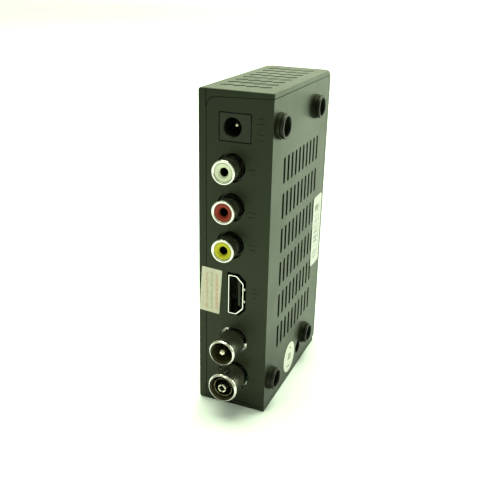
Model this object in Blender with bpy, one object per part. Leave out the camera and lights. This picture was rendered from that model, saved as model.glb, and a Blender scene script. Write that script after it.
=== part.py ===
"""Small digital television receiver and USB recorder, standing on one of its end walls.

The long side of the case runs up Z. Its roof faces -X and its underside, with the feet, faces +X.
The connectors leave the rear panel towards -Y, and the display and buttons face +Y.
The origin is the middle of the end wall that the case stands on.
"""
import math

import bmesh
import bpy
from mathutils import Matrix, Vector

MM = 0.001

# Case
CASE_LENGTH = 118.0 * MM
CASE_DEPTH = 62.5 * MM
CASE_THICKNESS = 26.6 * MM
ROOF_WALL = 2.2 * MM
END_WALL = 1.7 * MM
PLATE_WALL = 2.0 * MM
PANEL_WALL = 1.8 * MM
LIP_AT_ROOF = 2.9 * MM
LIP_TAPER = 0.9 * MM
LIP_CORNER = 3.5 * MM
ROOF_EDGE = 1.0 * MM
REAR_EDGE = 0.5 * MM
FRONT_DEPTH = 2.9 * MM
FRONT_SKIN = 2.0 * MM
FRONT_CORNER = 2.2 * MM
FRONT_EDGE = 1.2 * MM
FRONT_TAB = 1.4 * MM
FRONT_TAB_HALF = 5.3 * MM

# Clearances
FIT = 0.3 * MM
SEAM = 0.2 * MM
STICKER_LIFT = 0.02 * MM
PAST = 1.0 * MM

# Vents
PLATE_VENT = (1.9 * MM, 9.5 * MM)
PLATE_VENT_PITCH = (4.03 * MM, 12.83 * MM)
PLATE_VENT_COUNT = (10, 6)
PLATE_VENT_START = (12.1 * MM, 26.25 * MM)
SLANT_VENT = (1.6 * MM, 4.6 * MM)
SLANT_ANGLE = math.radians(28.0)
END_VENT_PITCH = (4.6 * MM, 6.3 * MM)
END_VENT_COUNT = (4, 8)
END_VENT_START = (-7.2 * MM, 9.3 * MM)
ROOF_VENT_PITCH = (6.3 * MM, 6.3 * MM)
ROOF_VENT_COUNT = (6, 7)
ROOF_VENT_MARGIN = 13.0 * MM

# Feet, hollow, with a ring pressed into each
FOOT_BORE = 6.6 * MM
FOOT_RING_DIAMETER = FOOT_BORE + 1.6 * MM
FOOT_BASE_DIAMETER = FOOT_RING_DIAMETER + 0.7 * MM
FOOT_BASE_HEIGHT = 1.3 * MM
FOOT_HEIGHT = 2.7 * MM
FOOT_SLEEVE_WALL = 0.45 * MM
FOOT_SLEEVE_DEPTH = 2.6 * MM
FOOT_WELL_DEPTH = FOOT_SLEEVE_DEPTH + 0.3 * MM
FOOT_WELL_WALL = 1.2 * MM
FOOT_FLOOR = 1.0 * MM
FOOT_NEAR = 5.9 * MM
FOOT_FAR = 44.2 * MM
FOOT_LOW = 12.0 * MM
FOOT_HIGH = CASE_LENGTH - 11.1 * MM

# Board
STANDOFF_HEIGHT = 3.9 * MM
BOARD_THICKNESS = 1.6 * MM
BOARD_FACE = CASE_THICKNESS / 2 - PLATE_WALL - STANDOFF_HEIGHT - BOARD_THICKNESS
BOARD_MARGIN = 4.0 * MM
BOARD_FRONT_GAP = 5.5 * MM
STANDOFF_DIAMETER = 5.0 * MM
BOARD_SCREW_HOLE = 2.8 * MM
BOARD_SCREW_SHANK = 2.2 * MM
BOARD_SCREW_HEAD = 4.4 * MM
BOARD_SCREW_HEAD_HEIGHT = 1.6 * MM
BOARD_SCREW_LENGTH = 4.6 * MM
BOARD_SCREW_ROOM = 0.9 * MM
STANDOFFS = {"low": (31.0 * MM, 17.6 * MM), "high": (33.0 * MM, CASE_LENGTH - 18.5 * MM)}
BOARD_RESTS = {"rear": (16.0 * MM, CASE_LENGTH - 19.4 * MM), "front": (CASE_DEPTH - 8.5 * MM, 17.0 * MM)}

# Case screw
CASE_SCREW_PLACE = (FOOT_FAR - FOOT_RING_DIAMETER / 2 - 2.3 * MM, 8.2 * MM)
CASE_SCREW_HEAD = 4.8 * MM
CASE_SCREW_RECESS = CASE_SCREW_HEAD + 0.6 * MM
CASE_SCREW_BOSS_WALL = 1.1 * MM
CASE_SCREW_FLOOR = 1.2 * MM
CASE_SCREW_BOSS_DEPTH = 3.2 * MM
CASE_SCREW_HEAD_HEIGHT = 1.7 * MM
CASE_SCREW_SHANK = 2.6 * MM
CASE_SCREW_LENGTH = 12.0 * MM
CASE_POST_DIAMETER = 6.2 * MM
CASE_POST_HOLE_DEPTH = 11.0 * MM

# Power socket
DC_CENTRE_X = BOARD_FACE - 5.65 * MM
DC_CENTRE_Z = CASE_LENGTH - 11.95 * MM
DC_HEIGHT = 11.3 * MM
DC_WIDTH = 9.1 * MM
DC_DEPTH = 14.0 * MM
DC_BORE = 6.2 * MM
DC_BORE_OFFSET = -1.1 * MM
DC_BORE_DEPTH = 10.0 * MM
DC_PIN = 2.0 * MM
DC_PIN_SETBACK = 3.3 * MM
DC_LEAF_THICKNESS = 0.3 * MM
DC_LEAF_WIDTH = 2.2 * MM
DC_LEAF_LENGTH = 8.0 * MM
DC_LEAF_SETBACK = 3.0 * MM
DC_LEAF_SWING = 0.8 * MM

# Audio and video sockets
RCA_CENTRE_X = BOARD_FACE - 7.0 * MM
RCA_TOP_Z = CASE_LENGTH - 25.5 * MM
RCA_PITCH = 13.77 * MM
RCA_SHELL = 8.3 * MM
RCA_SHELL_WALL = 0.55 * MM
RCA_REACH = 6.6 * MM
RCA_INSERT_MOUTH = 3.0 * MM
RCA_INSERT_LIP = 0.8 * MM
RCA_INSERT_SETBACK = 0.3 * MM
RCA_CONTACT = 3.6 * MM
RCA_CONTACT_WALL = 0.3 * MM
RCA_HOLE = RCA_SHELL + 2.0 * MM
RCA_HOUSING_DEPTH = 9.6 * MM
RCA_HOUSING_HALF = RCA_SHELL / 2 + 1.45 * MM
RCA_SHELL_SEAT = 5.5 * MM

# HDMI socket
HDMI_LOW_X = BOARD_FACE - 7.2 * MM
HDMI_HEIGHT = 5.8 * MM
HDMI_CENTRE_Z = 46.5 * MM
HDMI_WIDTH = 15.0 * MM
HDMI_CHAMFER = 2.6 * MM
HDMI_WALL = 0.45 * MM
HDMI_REACH = 0.7 * MM
HDMI_DEPTH = 11.0 * MM
HDMI_HOLE_GAP = 0.7 * MM
HDMI_TONGUE = 1.3 * MM
HDMI_TONGUE_PLACE = 3.6 * MM
HDMI_TONGUE_SETBACK = 1.6 * MM
HDMI_BASE_DEPTH = 2.5 * MM

# Aerial sockets and their metal can
RF_OUT_X = BOARD_FACE - 5.3 * MM
RF_OUT_Z = 27.7 * MM
RF_OUT_SHELL = 9.6 * MM
RF_OUT_WALL = 0.65 * MM
RF_OUT_REACH = 10.5 * MM
RF_OUT_PIN = 2.4 * MM
RF_OUT_PIN_REACH = 10.2 * MM
RF_OUT_HOLE = RF_OUT_SHELL + 1.6 * MM
RF_IN_X = BOARD_FACE - 5.2 * MM
RF_IN_Z = 12.9 * MM
RF_IN_SHELL = 11.0 * MM
RF_IN_WALL = 0.75 * MM
RF_IN_REACH = 10.0 * MM
RF_IN_SOCKET = 3.5 * MM
RF_IN_SOCKET_BORE = 2.5 * MM
RF_IN_SOCKET_REACH = 9.9 * MM
RF_IN_HOLE = RF_IN_SHELL + 1.4 * MM
RF_NECK = RF_OUT_SHELL - 1.0 * MM
RF_INSERT_DEPTH = 3.0 * MM
RF_SHELL_SEAT = 5.0 * MM
CAN_LOW_X = BOARD_FACE - 14.0 * MM
CAN_WALL = 0.5 * MM
CAN_SIDE = 5.6 * MM
CAN_DEPTH = 24.0 * MM

# Front
WINDOW_LOW_Z = 33.0 * MM
WINDOW_HIGH_Z = 83.0 * MM
WINDOW_HALF = 7.4 * MM
WINDOW_THICKNESS = 1.1 * MM
WINDOW_LEDGE = 1.5 * MM
BUTTON_X = BOARD_FACE - 5.2 * MM
BUTTON_DIAMETER = 6.2 * MM
BUTTON_FLANGE = BUTTON_DIAMETER + 1.6 * MM
BUTTON_PITCH = BUTTON_DIAMETER + 2.8 * MM
BUTTON_TOP_Z = CASE_LENGTH - 9.0 * MM
BUTTON_FLANGE_THICKNESS = 0.8 * MM
BUTTON_PROUD = 0.7 * MM
BUTTON_TRAVEL = 0.3 * MM
BUTTONS = {
    "power": BUTTON_TOP_Z - 2 * BUTTON_PITCH,
    "channel_down": BUTTON_TOP_Z - BUTTON_PITCH,
    "channel_up": BUTTON_TOP_Z,
}
SWITCH_WIDTH = 6.2 * MM
SWITCH_DEPTH = 3.8 * MM
SWITCH_PLUNGER = 3.0 * MM
SWITCH_PLUNGER_BITE = 0.9 * MM
USB_Z = 20.0 * MM
USB_WIDTH = 13.2 * MM
USB_HEIGHT = 5.8 * MM
USB_WALL = 0.4 * MM
USB_DEPTH = 13.5 * MM
USB_TONGUE = 1.8 * MM
USB_BASE_DEPTH = 2.5 * MM
USB_SETBACK = 0.6 * MM

# Components on the board: place (depth, height up the case), size (depth, height, rise off the board)
CHIPS = {
    "processor": ((31.0, 63.0), (14.0, 14.0, 1.4)),
    "memory_chip": ((31.0, 84.0), (8.0, 12.5, 1.1)),
    "flash_chip": ((44.0, 80.0), (5.3, 5.3, 1.7)),
    "power_coil": ((DC_DEPTH / MM + 6.0, 106.5), (6.5, 6.5, 3.2)),
    "crystal": ((45.0, 63.0), (4.4, 10.5, 3.0)),
}
CAPACITORS = {"rear": (22.0, 92.0), "middle": (43.0, 93.0), "front": (30.0, 108.0)}
CAPACITOR_DIAMETER = 6.3 * MM
CAPACITOR_HEIGHT = 9.0 * MM
HEATSINK_SIZE = 18.0 * MM
HEATSINK_BASE = 1.5 * MM
HEATSINK_HEIGHT = 8.0 * MM
HEATSINK_FINS = 6
HEATSINK_FIN = 1.1 * MM
DISPLAY_WIDTH = 30.0 * MM
DISPLAY_Z = 55.0 * MM
DISPLAY_DEPTH = 5.0 * MM
DISPLAY_HEIGHT = 10.0 * MM
RECEIVER_Z = 77.0 * MM
RECEIVER_SIZE = (4.0 * MM, 5.6 * MM, 7.0 * MM)
RECEIVER_LENS = 2.2 * MM

# Stickers
STICKER_THICKNESS = 0.12 * MM
SEAL_CENTRE = (-8.55 * MM, 46.2 * MM)
SEAL_SIZE = (7.9 * MM, 17.4 * MM)
SEAL_TURN = math.radians(-3.6)
LABEL_CENTRE = (54.0 * MM, 54.7 * MM)
LABEL_SIZE = (10.4 * MM, 29.8 * MM)
LABEL_CORNER = 1.5 * MM
INSPECTION_CENTRE = (FOOT_FAR - 17.1 * MM, 9.1 * MM)
INSPECTION_DIAMETER = 12.6 * MM

# Facets
ROUND = 24
SMALL_ROUND = 14
SLOT_END_STEPS = 2

# Faces worked out from the sizes above
ROOF_X = -CASE_THICKNESS / 2
UNDER_X = CASE_THICKNESS / 2
REAR_Y = -CASE_DEPTH / 2
FRONT_Y = CASE_DEPTH / 2
SPLIT_Y = FRONT_Y - FRONT_DEPTH
PANEL_INNER_Y = REAR_Y + PANEL_WALL
PLATE_INNER_X = UNDER_X - PLATE_WALL
BOARD_BACK = BOARD_FACE + BOARD_THICKNESS
ON_BOARD = BOARD_FACE - FIT


def depth(distance):
    """World Y of a distance forward of the rear face."""
    return REAR_Y + distance


def material(name, colour, roughness, metallic=0.0):
    made = bpy.data.materials.new(name)
    made.use_nodes = True
    shader = made.node_tree.nodes["Principled BSDF"]
    shader.inputs["Base Color"].default_value = (*colour, 1.0)
    shader.inputs["Roughness"].default_value = roughness
    shader.inputs["Metallic"].default_value = metallic
    return made


def place(name, mesh_data, finish, origin=(0.0, 0.0, 0.0), smooth=False):
    """Make an object of a bmesh drawn in world coordinates, with its origin at the given point."""
    bmesh.ops.recalc_face_normals(mesh_data, faces=mesh_data.faces[:])
    bmesh.ops.translate(mesh_data, verts=mesh_data.verts[:], vec=-Vector(origin))
    mesh = bpy.data.meshes.new(name)
    mesh_data.to_mesh(mesh)
    mesh_data.free()
    made = bpy.data.objects.new(name, mesh)
    made.location = origin
    bpy.context.scene.collection.objects.link(made)
    if finish is not None:
        mesh.materials.append(finish)
    if smooth:
        mesh.shade_smooth()
        mesh.set_sharp_from_angle(angle=math.radians(35.0))
    return made


def helper(name, mesh_data):
    """An object that only cuts or extends another one."""
    made = place(name, mesh_data, None)
    made.hide_render = True
    made.display_type = "WIRE"
    return made


def combine(target, other, operation):
    modifier = target.modifiers.new(other.name, "BOOLEAN")
    modifier.solver = "MANIFOLD"
    modifier.operation = operation
    modifier.object = other
    return target


def add_box(mesh_data, low, high):
    """Add a box between two corners, and give its vertices."""
    size = [b - a for a, b in zip(low, high)]
    middle = [(a + b) / 2 for a, b in zip(low, high)]
    matrix = Matrix.Translation(middle) @ Matrix.Diagonal((*size, 1.0))
    return bmesh.ops.create_cube(mesh_data, size=1.0, matrix=matrix)["verts"]


def add_prism(mesh_data, outline, axis, start, end):
    """Extrude an outline of (first, second) points along an axis of the frame."""
    def point(pair, along):
        values = list(pair)
        values.insert(axis, along)
        return values

    base = [mesh_data.verts.new(point(pair, start)) for pair in outline]
    face = mesh_data.faces.new(base)
    raised = bmesh.ops.extrude_face_region(mesh_data, geom=[face])
    moved = [item for item in raised["geom"] if isinstance(item, bmesh.types.BMVert)]
    offset = Vector((0.0, 0.0, 0.0))
    offset[axis] = end - start
    bmesh.ops.translate(mesh_data, verts=moved, vec=offset)


def add_turned(mesh_data, profile, axis, centre, steps=ROUND, closed=True):
    """Spin a profile of (radius, place along the axis) about an axis through centre."""
    across = (axis + 1) % 3
    middle = Vector((0.0, 0.0, 0.0))
    others = [index for index in range(3) if index != axis]
    middle[others[0]] = centre[0]
    middle[others[1]] = centre[1]
    verts = []
    for radius, along in profile:
        spot = middle.copy()
        spot[axis] = along
        spot[across] += radius
        verts.append(mesh_data.verts.new(spot))
    pairs = list(zip(verts, verts[1:]))
    if closed:
        pairs.append((verts[-1], verts[0]))
    edges = [mesh_data.edges.new(pair) for pair in pairs]
    direction = Vector((0.0, 0.0, 0.0))
    direction[axis] = 1.0
    bmesh.ops.spin(mesh_data, geom=verts + edges, cent=middle, axis=direction,
                   angle=2 * math.pi, steps=steps, use_merge=True)
    bmesh.ops.remove_doubles(mesh_data, verts=mesh_data.verts[:], dist=0.000001)


def add_cylinder(mesh_data, radius, axis, centre, start, end, steps=ROUND):
    profile = [(0.0, start), (radius, start), (radius, end), (0.0, end)]
    add_turned(mesh_data, profile, axis, centre, steps, closed=False)


def box(name, low, high, finish, bevel=0.0, steps=2):
    mesh_data = bmesh.new()
    add_box(mesh_data, low, high)
    if bevel:
        bmesh.ops.bevel(mesh_data, geom=mesh_data.edges[:], offset=bevel, segments=steps,
                        affect="EDGES", profile=0.5)
    middle = [(a + b) / 2 for a, b in zip(low, high)]
    return place(name, mesh_data, finish, middle)


def turned(name, profile, axis, centre, finish, steps=ROUND, closed=True):
    mesh_data = bmesh.new()
    add_turned(mesh_data, profile, axis, centre, steps, closed)
    origin = list(centre)
    origin.insert(axis, profile[0][1])
    return place(name, mesh_data, finish, origin, smooth=True)


def tube_profile(outer, inner, start, end):
    return [(inner, start), (outer, start), (outer, end), (inner, end)]


def rounded_corner(centre, radius, first_angle, steps=6):
    """A quarter turn of points, counted anticlockwise from first_angle in degrees."""
    turns = [math.radians(first_angle + 90.0 * step / steps) for step in range(steps + 1)]
    return [(centre[0] + radius * math.cos(turn), centre[1] + radius * math.sin(turn)) for turn in turns]


def slot_outline(centre, width, length, turn):
    """A straight slot with round ends; its length lies along the turn angle."""
    reach = (length - width) / 2
    points = []
    for end in (1.0, -1.0):
        for step in range(SLOT_END_STEPS + 1):
            angle = math.pi * (step / SLOT_END_STEPS - 0.5) + (0.0 if end > 0 else math.pi)
            points.append((end * reach + width / 2 * math.cos(angle), width / 2 * math.sin(angle)))
    cosine, sine = math.cos(turn), math.sin(turn)
    return [(centre[0] + x * cosine - y * sine, centre[1] + x * sine + y * cosine) for x, y in points]


def slot_grid(name, starts, pitch, count, slot, turn, axis, start, end):
    """Slots of one size in rows and columns, cut along one axis."""
    mesh_data = bmesh.new()
    for column in range(count[0]):
        for row in range(count[1]):
            middle = (starts[0] + pitch[0] * column, starts[1] + pitch[1] * row)
            add_prism(mesh_data, slot_outline(middle, slot[0], slot[1], turn), axis, start, end)
    return helper(name, mesh_data)


def opening_outline(gap):
    """Outline in X and Z that the rear panel fills; gap draws it inside the cover's lip."""
    roof = ROOF_X + LIP_AT_ROOF + gap
    low_at_roof = END_WALL + LIP_TAPER + gap
    low_at_plate = END_WALL + gap
    radius = LIP_CORNER - gap
    slope = (low_at_plate - low_at_roof) / (UNDER_X - roof)
    low_corner = (roof + radius, low_at_roof + slope * radius + radius)
    high_corner = (roof + radius, CASE_LENGTH - low_corner[1])
    outline = [(UNDER_X, low_at_plate), (UNDER_X, CASE_LENGTH - low_at_plate)]
    outline += rounded_corner(high_corner, radius, 90.0)
    outline += rounded_corner(low_corner, radius, 180.0)
    return outline


def foot_places():
    return {
        "rear_high": (depth(FOOT_NEAR), FOOT_HIGH),
        "front_high": (depth(FOOT_FAR), FOOT_HIGH),
        "rear_low": (depth(FOOT_NEAR), FOOT_LOW),
        "front_low": (depth(FOOT_FAR), FOOT_LOW),
    }


def hdmi_outline(gap):
    """The HDMI shell's outline in X and Z, grown by gap: wide towards the roof, chamfered below."""
    low_x = HDMI_LOW_X - gap
    high_x = HDMI_LOW_X + HDMI_HEIGHT + gap
    half = HDMI_WIDTH / 2 + gap
    shoulder = high_x - HDMI_CHAMFER - gap * math.tan(math.radians(22.5))
    narrow = half - HDMI_CHAMFER - gap * math.tan(math.radians(22.5))
    points = [(low_x, -half), (shoulder, -half), (high_x, -narrow)]
    points += [(x, -z) for x, z in reversed(points)]
    return [(x, HDMI_CENTRE_Z + z) for x, z in points]


def build_cover(finish):
    mesh_data = bmesh.new()
    add_box(mesh_data, (ROOF_X, REAR_Y, 0.0), (UNDER_X, SPLIT_Y - SEAM, CASE_LENGTH))
    along = [edge for edge in mesh_data.edges
             if all(abs(vert.co.x - ROOF_X) < SEAM for vert in edge.verts)
             and abs(edge.verts[0].co.y - edge.verts[1].co.y) > CASE_DEPTH / 2]
    bmesh.ops.bevel(mesh_data, geom=along, offset=ROOF_EDGE, segments=3, affect="EDGES", profile=0.5)
    rear = [edge for edge in mesh_data.edges if all(abs(vert.co.y - REAR_Y) < SEAM for vert in edge.verts)]
    bmesh.ops.bevel(mesh_data, geom=rear, offset=REAR_EDGE, segments=2, affect="EDGES", profile=0.5)
    cover = place("top_cover", mesh_data, finish)

    hollow = bmesh.new()
    add_box(hollow, (ROOF_X + ROOF_WALL, PANEL_INNER_Y + FIT, END_WALL),
            (UNDER_X + PAST, FRONT_Y, CASE_LENGTH - END_WALL))
    combine(cover, helper("cover_hollow", hollow), "DIFFERENCE")
    mouth = bmesh.new()
    outline = [(x + PAST if abs(x - UNDER_X) < SEAM else x, z) for x, z in opening_outline(0.0)]
    add_prism(mouth, outline, 1, REAR_Y - PAST, PANEL_INNER_Y + 2 * FIT)
    combine(cover, helper("cover_mouth", mouth), "DIFFERENCE")

    end_start = (END_VENT_START[0], depth(END_VENT_START[1]))
    ends = slot_grid("cover_end_vents", end_start, END_VENT_PITCH, END_VENT_COUNT, SLANT_VENT,
                     SLANT_ANGLE, 2, -PAST, CASE_LENGTH + PAST)
    combine(cover, ends, "DIFFERENCE")
    rows = ROOF_VENT_PITCH[1] * (ROOF_VENT_COUNT[1] - 1)
    roof_start = (depth(ROOF_VENT_MARGIN), (CASE_LENGTH - rows) / 2)
    roof = slot_grid("cover_roof_vents", roof_start, ROOF_VENT_PITCH, ROOF_VENT_COUNT, SLANT_VENT,
                     SLANT_ANGLE, 0, ROOF_X - PAST, ROOF_X + ROOF_WALL + PAST)
    combine(cover, roof, "DIFFERENCE")

    centre = (depth(CASE_SCREW_PLACE[0]), CASE_SCREW_PLACE[1])
    post = bmesh.new()
    add_cylinder(post, CASE_POST_DIAMETER / 2, 0, centre, ROOF_X + ROOF_WALL / 2, ON_BOARD, SMALL_ROUND)
    combine(cover, helper("cover_post", post), "UNION")
    bore = bmesh.new()
    add_cylinder(bore, CASE_SCREW_SHANK / 2 + FIT, 0, centre, ON_BOARD - CASE_POST_HOLE_DEPTH,
                 ON_BOARD + PAST, SMALL_ROUND)
    return combine(cover, helper("cover_post_bore", bore), "DIFFERENCE")


def foot_well_floor():
    return UNDER_X - FOOT_WELL_DEPTH


def build_bottom_shell(finish):
    mesh_data = bmesh.new()
    add_prism(mesh_data, opening_outline(SEAM), 1, REAR_Y, SPLIT_Y - SEAM)
    shell = place("bottom_shell", mesh_data, finish)
    inside = bmesh.new()
    add_box(inside, (ROOF_X, PANEL_INNER_Y, -PAST), (PLATE_INNER_X, FRONT_Y, CASE_LENGTH + PAST))
    combine(shell, helper("shell_inside", inside), "DIFFERENCE")

    bosses = bmesh.new()
    inner_radius = FOOT_RING_DIAMETER / 2 + FOOT_WELL_WALL - FIT
    for centre in foot_places().values():
        profile = [(0.0, foot_well_floor() - FOOT_FLOOR), (inner_radius, foot_well_floor() - FOOT_FLOOR),
                   (inner_radius, UNDER_X - PLATE_WALL / 2),
                   (FOOT_BASE_DIAMETER / 2, UNDER_X - PLATE_WALL / 2),
                   (FOOT_BASE_DIAMETER / 2, UNDER_X + FOOT_BASE_HEIGHT), (0.0, UNDER_X + FOOT_BASE_HEIGHT)]
        add_turned(bosses, profile, 0, centre, ROUND, closed=False)
    for place_of in (*STANDOFFS.values(), *BOARD_RESTS.values()):
        add_cylinder(bosses, STANDOFF_DIAMETER / 2, 0, (depth(place_of[0]), place_of[1]),
                     BOARD_BACK + FIT, UNDER_X - PLATE_WALL / 2, SMALL_ROUND)
    combine(shell, helper("shell_bosses", bosses), "UNION")
    screw = (depth(CASE_SCREW_PLACE[0]), CASE_SCREW_PLACE[1])
    screw_boss = bmesh.new()
    add_cylinder(screw_boss, CASE_SCREW_RECESS / 2 + CASE_SCREW_BOSS_WALL, 0, screw,
                 PLATE_INNER_X - CASE_SCREW_BOSS_DEPTH, UNDER_X - PLATE_WALL / 2, SMALL_ROUND)
    combine(shell, helper("shell_screw_boss", screw_boss), "UNION")

    start = (depth(PLATE_VENT_START[0]), PLATE_VENT_START[1])
    vents = slot_grid("shell_vents", start, PLATE_VENT_PITCH, PLATE_VENT_COUNT, PLATE_VENT,
                      math.pi / 2, 0, PLATE_INNER_X - PAST, UNDER_X + PAST)
    combine(shell, vents, "DIFFERENCE")

    holes = bmesh.new()
    well_radius = FOOT_BORE / 2 + FOOT_SLEEVE_WALL + FIT
    for centre in foot_places().values():
        add_cylinder(holes, well_radius, 0, centre, foot_well_floor(), UNDER_X + FOOT_HEIGHT + PAST)
    for place_of in STANDOFFS.values():
        add_cylinder(holes, BOARD_SCREW_SHANK / 2 + FIT, 0, (depth(place_of[0]), place_of[1]),
                     BOARD_BACK - PAST, ON_BOARD + BOARD_SCREW_LENGTH + BOARD_SCREW_ROOM, SMALL_ROUND)
    screw_seat = PLATE_INNER_X - CASE_SCREW_BOSS_DEPTH + CASE_SCREW_FLOOR
    profile = [(0.0, BOARD_BACK - PAST), (CASE_SCREW_SHANK / 2 + FIT, BOARD_BACK - PAST),
               (CASE_SCREW_SHANK / 2 + FIT, screw_seat), (CASE_SCREW_RECESS / 2, screw_seat),
               (CASE_SCREW_RECESS / 2, UNDER_X + PAST), (0.0, UNDER_X + PAST)]
    add_turned(holes, profile, 0, screw, SMALL_ROUND, closed=False)
    combine(shell, helper("shell_round_holes", holes), "DIFFERENCE")

    sockets = bmesh.new()
    reach = (REAR_Y - PAST, PANEL_INNER_Y + PAST)
    half_x, half_z = DC_HEIGHT / 2 + FIT, DC_WIDTH / 2 + FIT
    add_box(sockets, (DC_CENTRE_X - half_x, reach[0], DC_CENTRE_Z - half_z),
            (DC_CENTRE_X + half_x, reach[1], DC_CENTRE_Z + half_z))
    for index in range(3):
        add_cylinder(sockets, RCA_HOLE / 2, 1, (RCA_CENTRE_X, rca_height(index)), *reach)
    add_prism(sockets, hdmi_outline(HDMI_HOLE_GAP), 1, *reach)
    add_cylinder(sockets, RF_OUT_HOLE / 2, 1, (RF_OUT_X, RF_OUT_Z), *reach)
    add_cylinder(sockets, RF_IN_HOLE / 2, 1, (RF_IN_X, RF_IN_Z), *reach)
    return combine(shell, helper("shell_socket_holes", sockets), "DIFFERENCE")


def build_front(finish):
    mesh_data = bmesh.new()
    add_box(mesh_data, (ROOF_X, SPLIT_Y, 0.0), (UNDER_X, FRONT_Y, CASE_LENGTH))
    corners = [edge for edge in mesh_data.edges if abs(edge.verts[0].co.y - edge.verts[1].co.y) > SEAM]
    bmesh.ops.bevel(mesh_data, geom=corners, offset=FRONT_CORNER, segments=5, affect="EDGES", profile=0.5)
    rim = [edge for edge in mesh_data.edges if all(abs(vert.co.y - FRONT_Y) < SEAM for vert in edge.verts)]
    bmesh.ops.bevel(mesh_data, geom=rim, offset=FRONT_EDGE, segments=3, affect="EDGES", profile=0.5)
    front = place("front_panel", mesh_data, finish)

    inner_y = FRONT_Y - FRONT_SKIN
    hollow = bmesh.new()
    add_box(hollow, (ROOF_X + ROOF_WALL, SPLIT_Y - PAST, END_WALL + FRONT_CORNER / 2),
            (PLATE_INNER_X, inner_y, CASE_LENGTH - END_WALL - FRONT_CORNER / 2))
    combine(front, helper("front_hollow", hollow), "DIFFERENCE")
    tabs = bmesh.new()
    tab_low = END_WALL + FIT
    for low in (tab_low, CASE_LENGTH - tab_low - FRONT_TAB):
        add_box(tabs, (-FRONT_TAB_HALF, SPLIT_Y - 2 * FRONT_SKIN, low),
                (FRONT_TAB_HALF, inner_y + FRONT_SKIN / 2, low + FRONT_TAB))
    combine(front, helper("front_tabs", tabs), "UNION")

    holes = bmesh.new()
    add_box(holes, (-WINDOW_HALF, FRONT_Y - WINDOW_THICKNESS - FIT, WINDOW_LOW_Z),
            (WINDOW_HALF, FRONT_Y + PAST, WINDOW_HIGH_Z))
    for height in BUTTONS.values():
        add_cylinder(holes, BUTTON_DIAMETER / 2 + FIT, 1, (BUTTON_X, height), SPLIT_Y, FRONT_Y + PAST)
    usb_low = ON_BOARD - USB_HEIGHT
    add_box(holes, (usb_low - FIT, SPLIT_Y - PAST, USB_Z - USB_WIDTH / 2 - FIT),
            (ON_BOARD + FIT, FRONT_Y + PAST, USB_Z + USB_WIDTH / 2 + FIT))
    combine(front, helper("front_holes", holes), "DIFFERENCE")
    sight = bmesh.new()
    add_box(sight, (-WINDOW_HALF + WINDOW_LEDGE, SPLIT_Y - PAST, WINDOW_LOW_Z + WINDOW_LEDGE),
            (WINDOW_HALF - WINDOW_LEDGE, FRONT_Y + PAST, WINDOW_HIGH_Z - WINDOW_LEDGE))
    return combine(front, helper("front_sight", sight), "DIFFERENCE")


def build_window(finish):
    return box("display_window", (-WINDOW_HALF + FIT, FRONT_Y - WINDOW_THICKNESS, WINDOW_LOW_Z + FIT),
               (WINDOW_HALF - FIT, FRONT_Y - STICKER_THICKNESS, WINDOW_HIGH_Z - FIT), finish)


def build_buttons(cap_finish, switch_finish, plunger_finish):
    for name, height in BUTTONS.items():
        centre = (BUTTON_X, height)
        flange_front = FRONT_Y - FRONT_SKIN - FIT
        flange_back = flange_front - BUTTON_FLANGE_THICKNESS
        radius = BUTTON_DIAMETER / 2
        tip = FRONT_Y + BUTTON_PROUD
        profile = [(0.0, flange_back), (BUTTON_FLANGE / 2, flange_back), (BUTTON_FLANGE / 2, flange_front),
                   (radius, flange_front), (radius, tip - FIT), (radius - FIT, tip), (0.0, tip)]
        turned(f"{name}_button", profile, 1, centre, cap_finish, closed=False)

        board_edge = FRONT_Y - BOARD_FRONT_GAP
        mouth = board_edge + FIT
        floor = mouth - SWITCH_PLUNGER_BITE - BUTTON_TRAVEL - FIT
        half = SWITCH_WIDTH / 2
        body = box(f"{name}_switch", (BUTTON_X - half, mouth - SWITCH_DEPTH, height - half),
                   (ON_BOARD, mouth, height + half), switch_finish)
        bore = bmesh.new()
        add_cylinder(bore, SWITCH_PLUNGER / 2 + FIT, 1, centre, floor, mouth + PAST, SMALL_ROUND)
        combine(body, helper(f"{name}_switch_bore", bore), "DIFFERENCE")
        plunger = [(0.0, mouth - SWITCH_PLUNGER_BITE), (SWITCH_PLUNGER / 2, mouth - SWITCH_PLUNGER_BITE),
                   (SWITCH_PLUNGER / 2, flange_back - FIT), (0.0, flange_back - FIT)]
        turned(f"{name}_switch_plunger", plunger, 1, centre, plunger_finish, SMALL_ROUND, closed=False)


def build_feet(finish):
    top = UNDER_X + FOOT_HEIGHT
    shoulder = UNDER_X + FOOT_BASE_HEIGHT + SEAM
    bottom = UNDER_X - FOOT_SLEEVE_DEPTH
    bore = FOOT_BORE / 2
    sleeve = bore + FOOT_SLEEVE_WALL
    outer = FOOT_RING_DIAMETER / 2
    profile = [(bore, bottom), (sleeve, bottom), (sleeve, shoulder), (outer, shoulder), (outer, top),
               (bore, top)]
    for name, centre in foot_places().items():
        turned(f"foot_ring_{name}", profile, 0, centre, finish)


def build_case_screw(finish):
    seat = PLATE_INNER_X - CASE_SCREW_BOSS_DEPTH + CASE_SCREW_FLOOR + FIT
    head = CASE_SCREW_HEAD / 2
    shank = CASE_SCREW_SHANK / 2
    top = seat + CASE_SCREW_HEAD_HEIGHT
    profile = [(0.0, seat - CASE_SCREW_LENGTH), (shank / 2, seat - CASE_SCREW_LENGTH),
               (shank, seat - CASE_SCREW_LENGTH + shank), (shank, seat), (head, seat),
               (head, top - head / 3), (head * 0.7, top), (0.0, top)]
    centre = (depth(CASE_SCREW_PLACE[0]), CASE_SCREW_PLACE[1])
    turned("case_screw", profile, 0, centre, finish, SMALL_ROUND, closed=False)


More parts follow.
